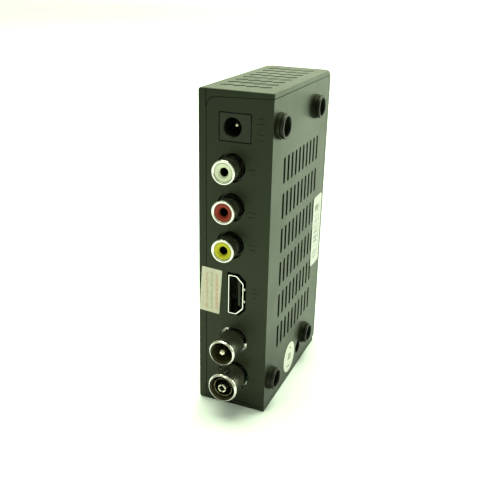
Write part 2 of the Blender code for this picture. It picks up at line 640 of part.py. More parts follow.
def build_board(finish, screw_finish):
    low = (BOARD_FACE, PANEL_INNER_Y + 2 * FIT, BOARD_MARGIN)
    high = (BOARD_BACK, FRONT_Y - BOARD_FRONT_GAP, CASE_LENGTH - BOARD_MARGIN)
    board = box("main_board", low, high, finish)
    holes = bmesh.new()
    for place_of in STANDOFFS.values():
        add_cylinder(holes, BOARD_SCREW_HOLE / 2, 0, (depth(place_of[0]), place_of[1]),
                     BOARD_FACE - PAST, BOARD_BACK + PAST, SMALL_ROUND)
    centre = (depth(CASE_SCREW_PLACE[0]), CASE_SCREW_PLACE[1])
    add_cylinder(holes, CASE_SCREW_SHANK / 2 + 2 * FIT, 0, centre, BOARD_FACE - PAST, BOARD_BACK + PAST,
                 SMALL_ROUND)
    combine(board, helper("board_holes", holes), "DIFFERENCE")

    under_head = BOARD_FACE - FIT
    top = under_head - BOARD_SCREW_HEAD_HEIGHT
    shank = BOARD_SCREW_SHANK / 2
    head = BOARD_SCREW_HEAD / 2
    end = under_head + BOARD_SCREW_LENGTH
    profile = [(0.0, top), (head * 0.7, top), (head, top + head / 3), (head, under_head),
               (shank, under_head), (shank, end), (0.0, end)]
    for name, place_of in STANDOFFS.items():
        turned(f"board_screw_{name}", profile, 0, (depth(place_of[0]), place_of[1]), screw_finish,
               SMALL_ROUND, closed=False)


def build_power_socket(body_finish, metal_finish):
    low = (DC_CENTRE_X - DC_HEIGHT / 2, REAR_Y, DC_CENTRE_Z - DC_WIDTH / 2)
    high = (min(DC_CENTRE_X + DC_HEIGHT / 2, ON_BOARD), REAR_Y + DC_DEPTH, DC_CENTRE_Z + DC_WIDTH / 2)
    body = box("dc_jack_body", low, high, body_finish)
    centre = (DC_CENTRE_X + DC_BORE_OFFSET, DC_CENTRE_Z)
    bore = bmesh.new()
    add_cylinder(bore, DC_BORE / 2, 1, centre, REAR_Y - PAST, REAR_Y + DC_BORE_DEPTH)
    combine(body, helper("dc_jack_bore", bore), "DIFFERENCE")

    leaf_x = centre[0] + DC_BORE / 2 - DC_LEAF_THICKNESS
    leaf_start = REAR_Y + DC_LEAF_SETBACK
    pocket = bmesh.new()
    add_box(pocket, (leaf_x - FIT, leaf_start - FIT, DC_CENTRE_Z - DC_LEAF_WIDTH / 2 - FIT),
            (leaf_x + DC_LEAF_THICKNESS + DC_LEAF_SWING + FIT, leaf_start + DC_LEAF_LENGTH + FIT,
             DC_CENTRE_Z + DC_LEAF_WIDTH / 2 + FIT))
    combine(body, helper("dc_jack_pocket", pocket), "DIFFERENCE")
    tail = bmesh.new()
    add_cylinder(tail, DC_PIN / 2 + FIT, 1, centre, REAR_Y, REAR_Y + DC_DEPTH + PAST, SMALL_ROUND)
    combine(body, helper("dc_jack_pin_hole", tail), "DIFFERENCE")

    radius = DC_PIN / 2
    start = REAR_Y + DC_PIN_SETBACK
    pin = [(0.0, start), (radius * 0.6, start + radius * 0.2), (radius, start + radius),
           (radius, REAR_Y + DC_DEPTH), (0.0, REAR_Y + DC_DEPTH)]
    turned("dc_jack_pin", pin, 1, centre, metal_finish, SMALL_ROUND, closed=False)
    leaf = bmesh.new()
    add_box(leaf, (leaf_x, leaf_start, DC_CENTRE_Z - DC_LEAF_WIDTH / 2),
            (leaf_x + DC_LEAF_THICKNESS, leaf_start + DC_LEAF_LENGTH, DC_CENTRE_Z + DC_LEAF_WIDTH / 2))
    pivot = (leaf_x + DC_LEAF_THICKNESS / 2, leaf_start + DC_LEAF_LENGTH, DC_CENTRE_Z)
    place("dc_jack_leaf", leaf, metal_finish, pivot)


def rca_height(index):
    return RCA_TOP_Z - RCA_PITCH * index


def build_rca(housing_finish, shell_finish, insert_finishes, contact_finish):
    rear = PANEL_INNER_Y + FIT
    low = (RCA_CENTRE_X - RCA_HOUSING_HALF, rear, rca_height(2) - RCA_HOUSING_HALF)
    high = (ON_BOARD, rear + RCA_HOUSING_DEPTH, rca_height(0) + RCA_HOUSING_HALF)
    housing = box("rca_housing", low, high, housing_finish)
    bores = bmesh.new()
    shell_end = rear + RCA_SHELL_SEAT
    for index in range(3):
        centre = (RCA_CENTRE_X, rca_height(index))
        contact_radius = RCA_CONTACT / 2 + FIT
        end = rear + RCA_HOUSING_DEPTH + PAST
        profile = [(0.0, rear - PAST), (RCA_SHELL / 2 + FIT, rear - PAST),
                   (RCA_SHELL / 2 + FIT, shell_end + FIT), (contact_radius, shell_end + FIT),
                   (contact_radius, end), (0.0, end)]
        add_turned(bores, profile, 1, centre, ROUND, closed=False)
    combine(housing, helper("rca_bores", bores), "DIFFERENCE")

    tip = REAR_Y - RCA_REACH
    outer = RCA_SHELL / 2
    inner = outer - RCA_SHELL_WALL
    shell = [(inner, tip + FIT), (inner + FIT / 2, tip), (outer - FIT / 2, tip), (outer, tip + FIT),
             (outer, shell_end), (inner, shell_end)]
    front = tip + RCA_INSERT_SETBACK
    lip = front + RCA_INSERT_LIP
    mouth = RCA_INSERT_MOUTH / 2
    bore = RCA_CONTACT / 2 + FIT
    insert = [(mouth, front + FIT), (mouth + FIT, front), (inner - FIT, front), (inner - FIT, shell_end),
              (bore, shell_end), (bore, lip), (mouth, lip)]
    contact = tube_profile(RCA_CONTACT / 2, RCA_CONTACT / 2 - RCA_CONTACT_WALL, lip + FIT,
                           rear + RCA_HOUSING_DEPTH)
    for index, (colour, finish) in enumerate(insert_finishes.items()):
        centre = (RCA_CENTRE_X, rca_height(index))
        turned(f"rca_{colour}_shell", shell, 1, centre, shell_finish)
        turned(f"rca_{colour}_insert", insert, 1, centre, finish)
        turned(f"rca_{colour}_contact", contact, 1, centre, contact_finish, SMALL_ROUND)


def build_hdmi(shell_finish, tongue_finish):
    front = REAR_Y - HDMI_REACH
    back = REAR_Y + HDMI_DEPTH
    mesh_data = bmesh.new()
    add_prism(mesh_data, hdmi_outline(0.0), 1, front, back)
    shell = place("hdmi_shell", mesh_data, shell_finish)
    inside = bmesh.new()
    add_prism(inside, hdmi_outline(-HDMI_WALL), 1, front - PAST, back + PAST)
    combine(shell, helper("hdmi_inside", inside), "DIFFERENCE")

    tongue = bmesh.new()
    add_prism(tongue, hdmi_outline(-HDMI_WALL - FIT), 1, back - HDMI_BASE_DEPTH, back)
    body = place("hdmi_tongue", tongue, tongue_finish)
    blade = bmesh.new()
    middle = HDMI_LOW_X + HDMI_TONGUE_PLACE
    half = HDMI_WIDTH / 2 - HDMI_CHAMFER
    add_box(blade, (middle - HDMI_TONGUE / 2, front + HDMI_TONGUE_SETBACK, HDMI_CENTRE_Z - half),
            (middle + HDMI_TONGUE / 2, back - HDMI_BASE_DEPTH / 2, HDMI_CENTRE_Z + half))
    return combine(body, helper("hdmi_blade", blade), "UNION")


def build_aerial_sockets(finish, insert_finish, pin_finish, can_finish):
    can_front = PANEL_INNER_Y + FIT
    low = (CAN_LOW_X, can_front, RF_IN_Z - RF_IN_SHELL / 2 - CAN_SIDE / 2)
    high = (ON_BOARD, can_front + CAN_DEPTH, RF_OUT_Z + RF_OUT_SHELL / 2 + CAN_SIDE)
    can = box("tuner_can", low, high, can_finish)
    hollow = bmesh.new()
    add_box(hollow, [value + CAN_WALL for value in low],
            (high[0] + PAST, high[1] - CAN_WALL, high[2] - CAN_WALL))
    combine(can, helper("can_hollow", hollow), "DIFFERENCE")
    mouths = bmesh.new()
    centres = {"out": (RF_OUT_X, RF_OUT_Z), "in": (RF_IN_X, RF_IN_Z)}
    for centre in centres.values():
        add_cylinder(mouths, RF_NECK / 2 + FIT, 1, centre, can_front - PAST, can_front + CAN_WALL + PAST)
    combine(can, helper("can_mouths", mouths), "DIFFERENCE")

    end = can_front + RF_SHELL_SEAT
    shoulder = can_front - FIT
    neck = RF_NECK / 2
    sizes = {
        "out": (RF_OUT_SHELL, RF_OUT_WALL, RF_OUT_REACH, RF_OUT_PIN),
        "in": (RF_IN_SHELL, RF_IN_WALL, RF_IN_REACH, RF_IN_SOCKET),
    }
    for name, (diameter, wall, reach, middle) in sizes.items():
        tip = REAR_Y - reach
        outer = diameter / 2
        inner = outer - wall
        profile = [(inner, tip + FIT), (inner + FIT / 2, tip), (outer - FIT / 2, tip), (outer, tip + FIT),
                   (outer, shoulder), (neck, shoulder), (neck, end), (neck - wall, end),
                   (neck - wall, shoulder - wall), (inner, shoulder - wall)]
        turned(f"rf_{name}_shell", profile, 1, centres[name], finish)
        insert = tube_profile(neck - wall - FIT, middle / 2 + FIT, end - RF_INSERT_DEPTH, end)
        turned(f"rf_{name}_insert", insert, 1, centres[name], insert_finish)

    radius = RF_OUT_PIN / 2
    start = REAR_Y - RF_OUT_PIN_REACH
    pin = [(0.0, start), (radius * 0.7, start + radius * 0.3), (radius, start + radius),
           (radius, end + PAST), (0.0, end + PAST)]
    turned("rf_out_pin", pin, 1, (RF_OUT_X, RF_OUT_Z), pin_finish, SMALL_ROUND, closed=False)
    socket = tube_profile(RF_IN_SOCKET / 2, RF_IN_SOCKET_BORE / 2, REAR_Y - RF_IN_SOCKET_REACH, end + PAST)
    turned("rf_in_socket", socket, 1, (RF_IN_X, RF_IN_Z), pin_finish, SMALL_ROUND)


def build_usb(shell_finish, tongue_finish):
    front = FRONT_Y - USB_SETBACK
    back = front - USB_DEPTH
    low = (ON_BOARD - USB_HEIGHT, back, USB_Z - USB_WIDTH / 2)
    high = (ON_BOARD, front, USB_Z + USB_WIDTH / 2)
    shell = box("usb_shell", low, high, shell_finish)
    inside = bmesh.new()
    add_box(inside, (low[0] + USB_WALL, back - PAST, low[2] + USB_WALL),
            (high[0] - USB_WALL, front + PAST, high[2] - USB_WALL))
    combine(shell, helper("usb_inside", inside), "DIFFERENCE")
    gap = USB_WALL + FIT
    base = box("usb_tongue", (low[0] + gap, back, low[2] + gap),
               (high[0] - gap, back + USB_BASE_DEPTH, high[2] - gap), tongue_finish)
    blade = bmesh.new()
    add_box(blade, (high[0] - gap - USB_TONGUE, back + USB_BASE_DEPTH / 2, low[2] + 2 * gap),
            (high[0] - gap - FIT, front - 2 * FIT, high[2] - 2 * gap))
    return combine(base, helper("usb_blade", blade), "UNION")


def build_components(chip_finish, metal_finish, coil_finish, capacitor_finish):
    finishes = {"power_coil": coil_finish, "crystal": metal_finish}
    for name, (middle, size) in CHIPS.items():
        y, z = depth(middle[0] * MM), middle[1] * MM
        across, up, rise = (value * MM for value in size)
        box(name, (ON_BOARD - rise, y - across / 2, z - up / 2), (ON_BOARD, y + across / 2, z + up / 2),
            finishes.get(name, chip_finish))
    for name, middle in CAPACITORS.items():
        radius = CAPACITOR_DIAMETER / 2
        top = ON_BOARD - CAPACITOR_HEIGHT
        profile = [(0.0, ON_BOARD), (radius, ON_BOARD), (radius, top + FIT), (radius - FIT, top), (0.0, top)]
        turned(f"capacitor_{name}", profile, 0, (depth(middle[0] * MM), middle[1] * MM), capacitor_finish,
               SMALL_ROUND, closed=False)


def build_heatsink(finish):
    (y, z), size = CHIPS["processor"]
    y, z = depth(y * MM), z * MM
    foot = ON_BOARD - size[2] * MM - FIT
    half = HEATSINK_SIZE / 2
    sink = box("heatsink", (foot - HEATSINK_HEIGHT, y - half, z - half), (foot, y + half, z + half), finish)
    gaps = bmesh.new()
    spacing = (HEATSINK_SIZE - HEATSINK_FIN) / (HEATSINK_FINS - 1)
    for index in range(HEATSINK_FINS - 1):
        low = z - half + HEATSINK_FIN + spacing * index
        add_box(gaps, (foot - HEATSINK_HEIGHT - PAST, y - half - PAST, low),
                (foot - HEATSINK_BASE, y + half + PAST, low + spacing - HEATSINK_FIN))
    return combine(sink, helper("heatsink_gaps", gaps), "DIFFERENCE")


def build_display(finish, receiver_finish):
    board_edge = FRONT_Y - BOARD_FRONT_GAP
    half = DISPLAY_WIDTH / 2
    box("display_module", (ON_BOARD - DISPLAY_HEIGHT, board_edge - DISPLAY_DEPTH, DISPLAY_Z - half),
        (ON_BOARD, FRONT_Y - FRONT_SKIN - FIT, DISPLAY_Z + half), finish)
    size_y, size_z, size_x = RECEIVER_SIZE
    receiver = box("infrared_receiver", (ON_BOARD - size_x, board_edge - size_y, RECEIVER_Z - size_z / 2),
                   (ON_BOARD, board_edge, RECEIVER_Z + size_z / 2), receiver_finish)
    lens = bmesh.new()
    middle = ON_BOARD - size_x / 2
    steps = 5
    profile = [(0.0, board_edge - size_y / 2), (RECEIVER_LENS, board_edge - size_y / 2)]
    for step in range(steps + 1):
        angle = math.pi / 2 * step / steps
        profile.append((RECEIVER_LENS * math.cos(angle), board_edge + RECEIVER_LENS * math.sin(angle)))
    add_turned(lens, profile, 1, (middle, RECEIVER_Z), SMALL_ROUND, closed=False)
    return combine(receiver, helper("receiver_lens", lens), "UNION")


def build_stickers(seal_finish, label_finish, round_finish):
    seal = bmesh.new()
    half_x, half_z = SEAL_SIZE[0] / 2, SEAL_SIZE[1] / 2
    cosine, sine = math.cos(SEAL_TURN), math.sin(SEAL_TURN)
    outline = [(SEAL_CENTRE[0] + x * cosine - z * sine, SEAL_CENTRE[1] + x * sine + z * cosine)
               for x, z in ((-half_x, -half_z), (half_x, -half_z), (half_x, half_z), (-half_x, half_z))]
    rear = REAR_Y - STICKER_LIFT
    add_prism(seal, outline, 1, rear - STICKER_THICKNESS, rear)
    place("seal_sticker", seal, seal_finish, (SEAL_CENTRE[0], rear, SEAL_CENTRE[1]))

    label = bmesh.new()
    low_x = UNDER_X + STICKER_LIFT
    middle = (depth(LABEL_CENTRE[0]), LABEL_CENTRE[1])
    inset_y, inset_z = LABEL_SIZE[0] / 2 - LABEL_CORNER, LABEL_SIZE[1] / 2 - LABEL_CORNER
    outline = []
    for side_y, side_z, first in ((1, 1, 0.0), (-1, 1, 90.0), (-1, -1, 180.0), (1, -1, 270.0)):
        corner = (middle[0] + side_y * inset_y, middle[1] + side_z * inset_z)
        outline += rounded_corner(corner, LABEL_CORNER, first, 4)
    add_prism(label, outline, 0, low_x, low_x + STICKER_THICKNESS)
    place("barcode_label", label, label_finish, (low_x, *middle))

    disc = bmesh.new()
    centre = (depth(INSPECTION_CENTRE[0]), INSPECTION_CENTRE[1])
    add_cylinder(disc, INSPECTION_DIAMETER / 2, 0, centre, low_x, low_x + STICKER_THICKNESS, ROUND)
    place("inspection_sticker", disc, round_finish, (low_x, *centre))


def build():
    for existing in list(bpy.data.objects):
        bpy.data.objects.remove(existing)
    shell_black = material("case_plastic", (0.018, 0.019, 0.017), 0.55)
    gloss_black = material("button_plastic", (0.02, 0.02, 0.02), 0.3)
    socket_black = material("socket_plastic", (0.012, 0.012, 0.012), 0.4)
    rubber = material("foot_rubber", (0.01, 0.01, 0.01), 0.8)
    smoked = material("smoked_window", (0.03, 0.004, 0.004), 0.08)
    nickel = material("nickel_plate", (0.62, 0.6, 0.55), 0.22, 1.0)
    brass = material("contact_metal", (0.7, 0.66, 0.58), 0.3, 1.0)
    tin = material("tinned_sheet", (0.6, 0.6, 0.58), 0.4, 1.0)
    steel = material("screw_steel", (0.25, 0.25, 0.26), 0.4, 1.0)
    brown = material("aerial_insulator", (0.05, 0.035, 0.02), 0.5)
    inserts = {
        "white": material("insert_white", (0.75, 0.76, 0.68), 0.4),
        "red": material("insert_red", (0.42, 0.05, 0.03), 0.4),
        "yellow": material("insert_yellow", (0.62, 0.6, 0.02), 0.4),
    }
    board_green = material("board_laminate", (0.02, 0.12, 0.05), 0.45)
    chip = material("chip_epoxy", (0.015, 0.015, 0.015), 0.6)
    aluminium = material("heatsink_aluminium", (0.6, 0.6, 0.6), 0.4, 1.0)
    sleeve = material("capacitor_sleeve", (0.02, 0.03, 0.08), 0.4)
    seal_paper = material("seal_paper", (0.62, 0.64, 0.52), 0.6)
    label_paper = material("label_paper", (0.72, 0.75, 0.66), 0.5)

    build_cover(shell_black)
    build_bottom_shell(shell_black)
    build_front(shell_black)
    build_window(smoked)
    build_buttons(gloss_black, socket_black, gloss_black)
    build_feet(rubber)
    build_case_screw(steel)
    build_board(board_green, steel)
    build_power_socket(socket_black, brass)
    build_rca(socket_black, nickel, inserts, brass)
    build_hdmi(nickel, socket_black)
    build_aerial_sockets(nickel, brown, brass, tin)
    build_usb(tin, socket_black)
    build_components(chip, tin, chip, sleeve)
    build_heatsink(aluminium)
    build_display(socket_black, chip)
    build_stickers(seal_paper, label_paper, label_paper)


build()
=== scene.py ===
"""Looks of a slim set-top recorder that stands on its end wall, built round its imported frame.

The roof faces -X, the underside and feet +X, the rear sockets -Y, the display and buttons +Y.
"""
import math

import bmesh
import bpy
from mathutils import Matrix, Vector


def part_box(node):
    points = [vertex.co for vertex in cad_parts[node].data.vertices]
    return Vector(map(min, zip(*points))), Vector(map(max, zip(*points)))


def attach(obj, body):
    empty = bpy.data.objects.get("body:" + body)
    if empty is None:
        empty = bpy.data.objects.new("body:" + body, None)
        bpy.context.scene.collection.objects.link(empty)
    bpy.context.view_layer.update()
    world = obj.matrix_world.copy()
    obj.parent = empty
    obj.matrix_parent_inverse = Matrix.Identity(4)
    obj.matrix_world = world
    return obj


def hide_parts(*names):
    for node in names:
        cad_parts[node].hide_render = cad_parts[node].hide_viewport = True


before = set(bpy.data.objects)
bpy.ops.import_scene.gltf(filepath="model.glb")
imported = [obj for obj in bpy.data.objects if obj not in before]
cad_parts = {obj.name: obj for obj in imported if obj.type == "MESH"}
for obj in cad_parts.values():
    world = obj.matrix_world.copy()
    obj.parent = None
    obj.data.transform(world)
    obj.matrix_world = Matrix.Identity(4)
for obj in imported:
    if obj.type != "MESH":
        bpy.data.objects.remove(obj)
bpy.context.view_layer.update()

MM = 0.001
X, Y, Z = 0, 1, 2
NEAR = 0.02 * MM
PAST = 1.0 * MM

# The way a turned piece faces, as the turn that brings +Z there
FACING = {
    "rear": (math.pi / 2, 0.0, 0.0),
    "front": (-math.pi / 2, 0.0, 0.0),
    "under": (0.0, math.pi / 2, 0.0),
}
# The turn that lays a slot drawn flat, long side on X, onto a wall that faces X: its length along Y
ONTO_SIDE = (math.pi / 2, 0.0, math.pi / 2)

# Case
LIP_AT_ROOF = 2.9 * MM
LIP_TAPER = 0.9 * MM
LIP_CORNER = 3.5 * MM
ROOF_WALL = 2.2 * MM
END_WALL = 1.7 * MM
PANEL_WALL = 1.8 * MM
PLATE_WALL = 2.0 * MM
SEAM = 0.2 * MM
ROOF_EDGE = 1.0 * MM
REAR_EDGE = 0.5 * MM
RIM = 0.12 * MM
STRIP_DEPTH = 0.35 * MM
POST_RADIUS = 3.1 * MM

# Vents: width and length, pitch, count, and the first one's place from the rear and lower or roof side
PLATE_VENT = (1.9 * MM, 9.5 * MM)
PLATE_PITCH = (4.03 * MM, 12.83 * MM)
PLATE_COUNT = (10, 6)
PLATE_FIRST = (12.1 * MM, 26.25 * MM)
SLANT_VENT = (1.6 * MM, 4.6 * MM)
SLANT = math.radians(28.0)
END_PITCH = (4.6 * MM, 6.3 * MM)
END_COUNT = (4, 8)
END_FIRST = (-7.2 * MM, 9.3 * MM)
ROOF_PITCH = (6.3 * MM, 6.3 * MM)
ROOF_COUNT = (6, 7)
ROOF_FIRST = 13.0 * MM

# Feet
FEET = [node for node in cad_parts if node.startswith("foot_ring")]
FOOT_BASE_RADIUS = 4.45 * MM
FOOT_BASE_HEIGHT = 1.3 * MM
FOOT_WELL_RADIUS = 4.05 * MM
FOOT_WELL_DEPTH = 2.9 * MM
FOOT_WELL_WALL = 1.0 * MM
FOOT_BORE_RADIUS = 3.3 * MM

# Case screw
SCREW_RECESS_RADIUS = 2.7 * MM
SCREW_RECESS_DEPTH = 4.0 * MM
SCREW_BOSS_RADIUS = 3.8 * MM
SCREW_HEAD_RISE = 1.7 * MM
SCREW_SHANK_RADIUS = 1.3 * MM
SCREW_CROSS = 0.35 * MM

# Power socket
DC_GAP = 0.3 * MM
DC_BARREL_RADIUS = 3.1 * MM
DC_BARREL_DEPTH = 10.0 * MM
DC_FUNNEL = 0.3 * MM
DC_PIN_HOLE_RADIUS = 1.3 * MM
DC_PIN_HOLE = (-15.0 * MM, -8.0 * MM)
LEAF_GAP = 0.3 * MM
LEAF_ROOM = 1.2 * MM

# Phono sockets
RCA_COLOURS = ("white", "red", "yellow")
RCA_HOLE_RADIUS = 5.15 * MM
RCA_WALL = 0.55 * MM
RCA_LIP = 0.95 * MM
RCA_BORE = 2.1 * MM
# The shell's rolled edge, in mm in from its radius and down from its tip, from the outside in
RCA_ROLLED_EDGE = (
    (0.05, 1.1), (0.0, 0.95), (0.0, 0.25), (0.1, 0.07), (0.3, 0.0), (0.55, 0.05), (0.85, 0.2), (0.95, 0.34),
    (0.93, 0.5), (0.55, 0.8),
)
# The insert's funnel and mouth, in mm in from its bore and down from its face
RCA_FUNNEL = ((-0.15, 0.0), (0.05, 0.07), (0.5, 0.6), (0.6, 0.8), (0.0, 0.92))
CONTACT_WALL = 0.3 * MM
RCA_SLIT = (0.3 * MM, 4.0 * MM)

# HDMI socket
HDMI_CHAMFER = 2.6 * MM
HDMI_GAP = 0.7 * MM
HDMI_WALL = 0.32 * MM
HDMI_SPRING_PLACE = 2.4 * MM
HDMI_SPRING_RISE = 0.35 * MM
HDMI_CORE_DEPTH = 2.5 * MM
HDMI_BLADE_PLACE = 3.596 * MM
HDMI_BLADE_HALF = 4.9 * MM
HDMI_CONTACT_PITCH = 0.98 * MM
HDMI_CONTACT_COUNT = 10

# Aerial connectors. Shell: wall, mouth radius, length of the sloping mouth. Insert: bore, hub radius at
# its foot and at its top, hub height.
RF_SHELLS = {"out": (0.55 * MM, 4.3 * MM, 0.6 * MM), "in": (0.6 * MM, 4.95 * MM, 0.8 * MM)}
RF_INSERTS = {
    "out": (1.5 * MM, 2.6 * MM, 2.3 * MM, 0.3 * MM),
    "in": (2.05 * MM, 2.95 * MM, 2.85 * MM, 0.5 * MM),
}
RF_HOLE_GAP = 0.75 * MM
RF_NECK_RADIUS = 4.3 * MM
RF_LINER_WALL = 0.3 * MM
RF_SOCKET_BORE = 1.25 * MM
RF_SOCKET_SLIT = (0.4 * MM, 4.5 * MM)
PETAL_WALL = 0.35 * MM
PETAL_SLIT = 0.22 * MM
PETAL_TURNS = (15.0, 75.0, 135.0)
CRIMP_HALF = 0.4 * MM
CRIMP_RISE = 0.55 * MM
CRIMP_TURNS = (-29.0, 100.0)

# Raised marks beside the sockets: middle from the underside, width, count and drop from the socket's middle
MARKS = {
    "dc_jack_body": (-4.2 * MM, 2.6 * MM, 5, 0.0),
    "rca_white_shell": (-6.6 * MM, 2.2 * MM, 2, 1.0 * MM),
    "rca_red_shell": (-6.9 * MM, 3.4 * MM, 2, 1.9 * MM),
    "rca_yellow_shell": (-6.1 * MM, 3.2 * MM, 2, 0.0),
    "hdmi_shell": (-5.0 * MM, 1.8 * MM, 3, -1.4 * MM),
}
MARK_PITCH = 1.7 * MM
MARK_HALF = 0.25 * MM
MARK_RISE = 0.15 * MM
MARK_SHORTER = 0.72

# Front
FRONT_CORNER = 2.2 * MM
FRONT_EDGE = 1.2 * MM
FRONT_SKIN = 2.0 * MM
WINDOW_LEDGE = 1.5 * MM
DIGIT_COUNT = 4
DIGIT_SIZE = (3.6 * MM, 6.4 * MM)
DIGIT_PITCH = 6.2 * MM
DIGIT_BAR = 0.55 * MM
BUTTONS = ("power", "channel_down", "channel_up")
BUTTON_RADIUS = 3.1 * MM
# The cap's rounded edge and dished top, in mm in from its radius and down from its tip
BUTTON_DISH = ((0.0, 0.5), (0.12, 0.2), (0.4, 0.0), (0.8, 0.02), (1.55, 0.18), (2.79, 0.22))
FLANGE_RADIUS = 3.9 * MM
FLANGE_THICKNESS = 0.8 * MM

# USB socket
USB_WALL = 0.4 * MM
USB_CORE_DEPTH = 2.5 * MM
USB_BLADE = (1.8 * MM, 0.3 * MM)
USB_SPRING_PLACE = 3.4 * MM
USB_SPRING_HALF = 0.9 * MM
USB_CONTACT_PITCH = 2.3 * MM
USB_CONTACT_COUNT = 4

# Stickers
SEAL_SIZE = (7.9 * MM, 17.4 * MM)
SEAL_TURN = math.radians(3.6)
SEAL_ROW = 1.95 * MM
LABEL_CORNER = 1.5 * MM
LABEL_BAR = 0.33 * MM
LABEL_MARGIN = 3.0 * MM
STICKER_LIFT = 0.01 * MM
INK_TURN = math.radians(-12.0)
# Bars of the inspection stamp, in mm: place along and aside, thickness and length
STAMP = (
    (-3.9, 0.6, 0.5, 1.3), (-3.9, -1.0, 0.5, 1.3), (-0.7, 0.0, 0.5, 3.0), (0.3, 0.0, 0.5, 3.0),
    (1.3, 0.0, 0.5, 3.0), (0.3, 1.3, 2.6, 0.4), (0.3, -1.3, 2.6, 0.4), (3.6, 0.7, 0.4, 1.4),
    (4.3, -0.5, 0.4, 1.6),
)

# Studio
LIGHT_TINT = (0.86, 1.0, 0.68)
WORLD_STRENGTH = 0.55
BACKDROP_STRENGTH = 1.45
# Lamps: place, aim, side of the square lamp and radiance
LAMPS = {
    "overhead": ((-0.15, 0.35, 1.3), (0.1, 0.2, 0.0), 1.1, 9.0),
    "side": ((0.9, 0.95, 0.55), (0.1, 0.25, 0.0), 0.8, 7.0),
}
CAMERA_AZIMUTH = math.radians(22.02)
CAMERA_ELEVATION = math.radians(22.40)
CAMERA_ROLL = math.radians(1.41)
CAMERA_DISTANCE = 263.92 * MM
CAMERA_LENS = 49.86

CASE = "case"
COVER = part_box("top_cover")
ROOF_X, UNDER_X = COVER[0].x, COVER[1].x
REAR_Y, FRONT_Y = COVER[0].y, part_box("front_panel")[1].y
SPLIT_Y = COVER[1].y
LENGTH = COVER[1].z
INNER_X = UNDER_X - PLATE_WALL
INNER_Y = REAR_Y + PANEL_WALL
# The middle of the camera's view
CAMERA_AIM = Vector((-2.99 * MM, REAR_Y + 22.92 * MM, 54.27 * MM))


# Modelling

def alone(piece=None):
    bpy.ops.object.select_all(action="DESELECT")
    if piece is not None:
        piece.select_set(True)
        bpy.context.view_layer.objects.active = piece
    return piece


def added(name):
    """The object that an operator has just added, under its own name."""
    piece = bpy.context.object
    piece.name = name
    return piece


def settle(piece):
    """Put a piece's place, turn and size into its mesh."""
    alone(piece)
    bpy.ops.object.transform_apply(location=True, rotation=True, scale=True)
    return piece


def turned(piece, turn, place=(0.0, 0.0, 0.0)):
    """Turn a piece about the origin, then move it to its place."""
    piece.rotation_euler = turn
    piece.location = place
    return settle(piece)


def at(axis, value):
    """A test for a vertex, edge or face that lies flat at one height along an axis."""
    def test(part):
        return all(abs(vert.co[axis] - value) < NEAR for vert in getattr(part, "verts", [part]))
    return test


def running(axis, least=PAST):
    """A test for an edge that runs along an axis for more than a least length."""
    def test(edge):
        return abs(edge.verts[0].co[axis] - edge.verts[1].co[axis]) > least
    return test


def both(*tests):
    return lambda part: all(test(part) for test in tests)


def edit(piece, kind, test):
    """Enter edit mode with only the vertices, edges or faces that pass a test selected."""
    alone(piece)
    bpy.ops.object.mode_set(mode="EDIT")
    bpy.ops.mesh.select_mode(type=kind)
    bpy.ops.mesh.select_all(action="DESELECT")
    mesh = bmesh.from_edit_mesh(piece.data)
    for part in {"VERT": mesh.verts, "EDGE": mesh.edges, "FACE": mesh.faces}[kind]:
        if test(part):
            part.select_set(True)
    mesh.select_flush_mode()
    bmesh.update_edit_mesh(piece.data)


def leave():
    bpy.ops.object.mode_set(mode="OBJECT")


def bevel(piece, test, width, segments=3):
    edit(piece, "EDGE", test)
    bpy.ops.mesh.bevel(offset=width, segments=segments, profile=0.5, affect="EDGES")
    leave()
    return piece


def block(name, low, high):
    alone()
    bpy.ops.mesh.primitive_cube_add(size=1.0, location=(Vector(low) + Vector(high)) / 2)
    piece = added(name)
    piece.scale = Vector(high) - Vector(low)
    return settle(piece)


def lathe(name, profile, centre, facing, sides=64, hollow=False):
    """A round piece: a circle extruded and resized ring by ring, then turned to face its way."""
    radius, height = profile[0]
    rings = profile[1:] + profile[:1] if hollow else profile[1:]
    fill = "NOTHING" if hollow else "NGON"
    alone()
    bpy.ops.mesh.primitive_circle_add(vertices=sides, radius=radius, fill_type=fill)
    piece = added(name)
    bpy.ops.object.mode_set(mode="EDIT")
    bpy.ops.mesh.select_mode(type="VERT" if hollow else "FACE")
    bpy.ops.mesh.select_all(action="SELECT")
    bpy.ops.transform.translate(value=(0.0, 0.0, height))
    for ring_radius, ring_height in rings:
        rise = (0.0, 0.0, ring_height - height)
        bpy.ops.mesh.extrude_region_move(TRANSFORM_OT_translate={"value": rise})
        factor = ring_radius / radius
        bpy.ops.transform.resize(value=(factor, factor, 1.0), center_override=(0.0, 0.0, ring_height))
        radius, height = ring_radius, ring_height
    bpy.ops.mesh.select_all(action="SELECT")
    bpy.ops.mesh.remove_doubles(threshold=NEAR / 20)
    bpy.ops.mesh.normals_make_consistent(inside=False)
    leave()
    return turned(piece, FACING[facing], centre)


def rod(name, radius, start, end, centre, facing, sides=64):
    """A plain round bar between two distances from a place, out along the way it faces."""
    return lathe(name, [(radius, start), (radius, end)], centre, facing, sides)


def domed_pin(name, radius, foot, tip, centre, sides, steps):
    """A pin out of the rear with a round tip."""
    shoulder = tip - radius
    profile = [(radius, foot), (radius, shoulder)]
    for step in range(1, steps):
        turn = math.pi / 2 * step / steps
        profile.append((radius * math.cos(turn), shoulder + radius * math.sin(turn)))
    return lathe(name, profile, centre, "rear", sides)


def apply(piece, kind, **settings):
    modifier = piece.modifiers.new(kind.lower(), kind)
    for key, value in settings.items():
        setattr(modifier, key, value)
    alone(piece)
    bpy.ops.object.modifier_apply(modifier=modifier.name)
    return piece


def cut(piece, *tools):
    for tool in tools:
        apply(piece, "BOOLEAN", object=tool, operation="DIFFERENCE")
        bpy.data.objects.remove(tool)
    return piece


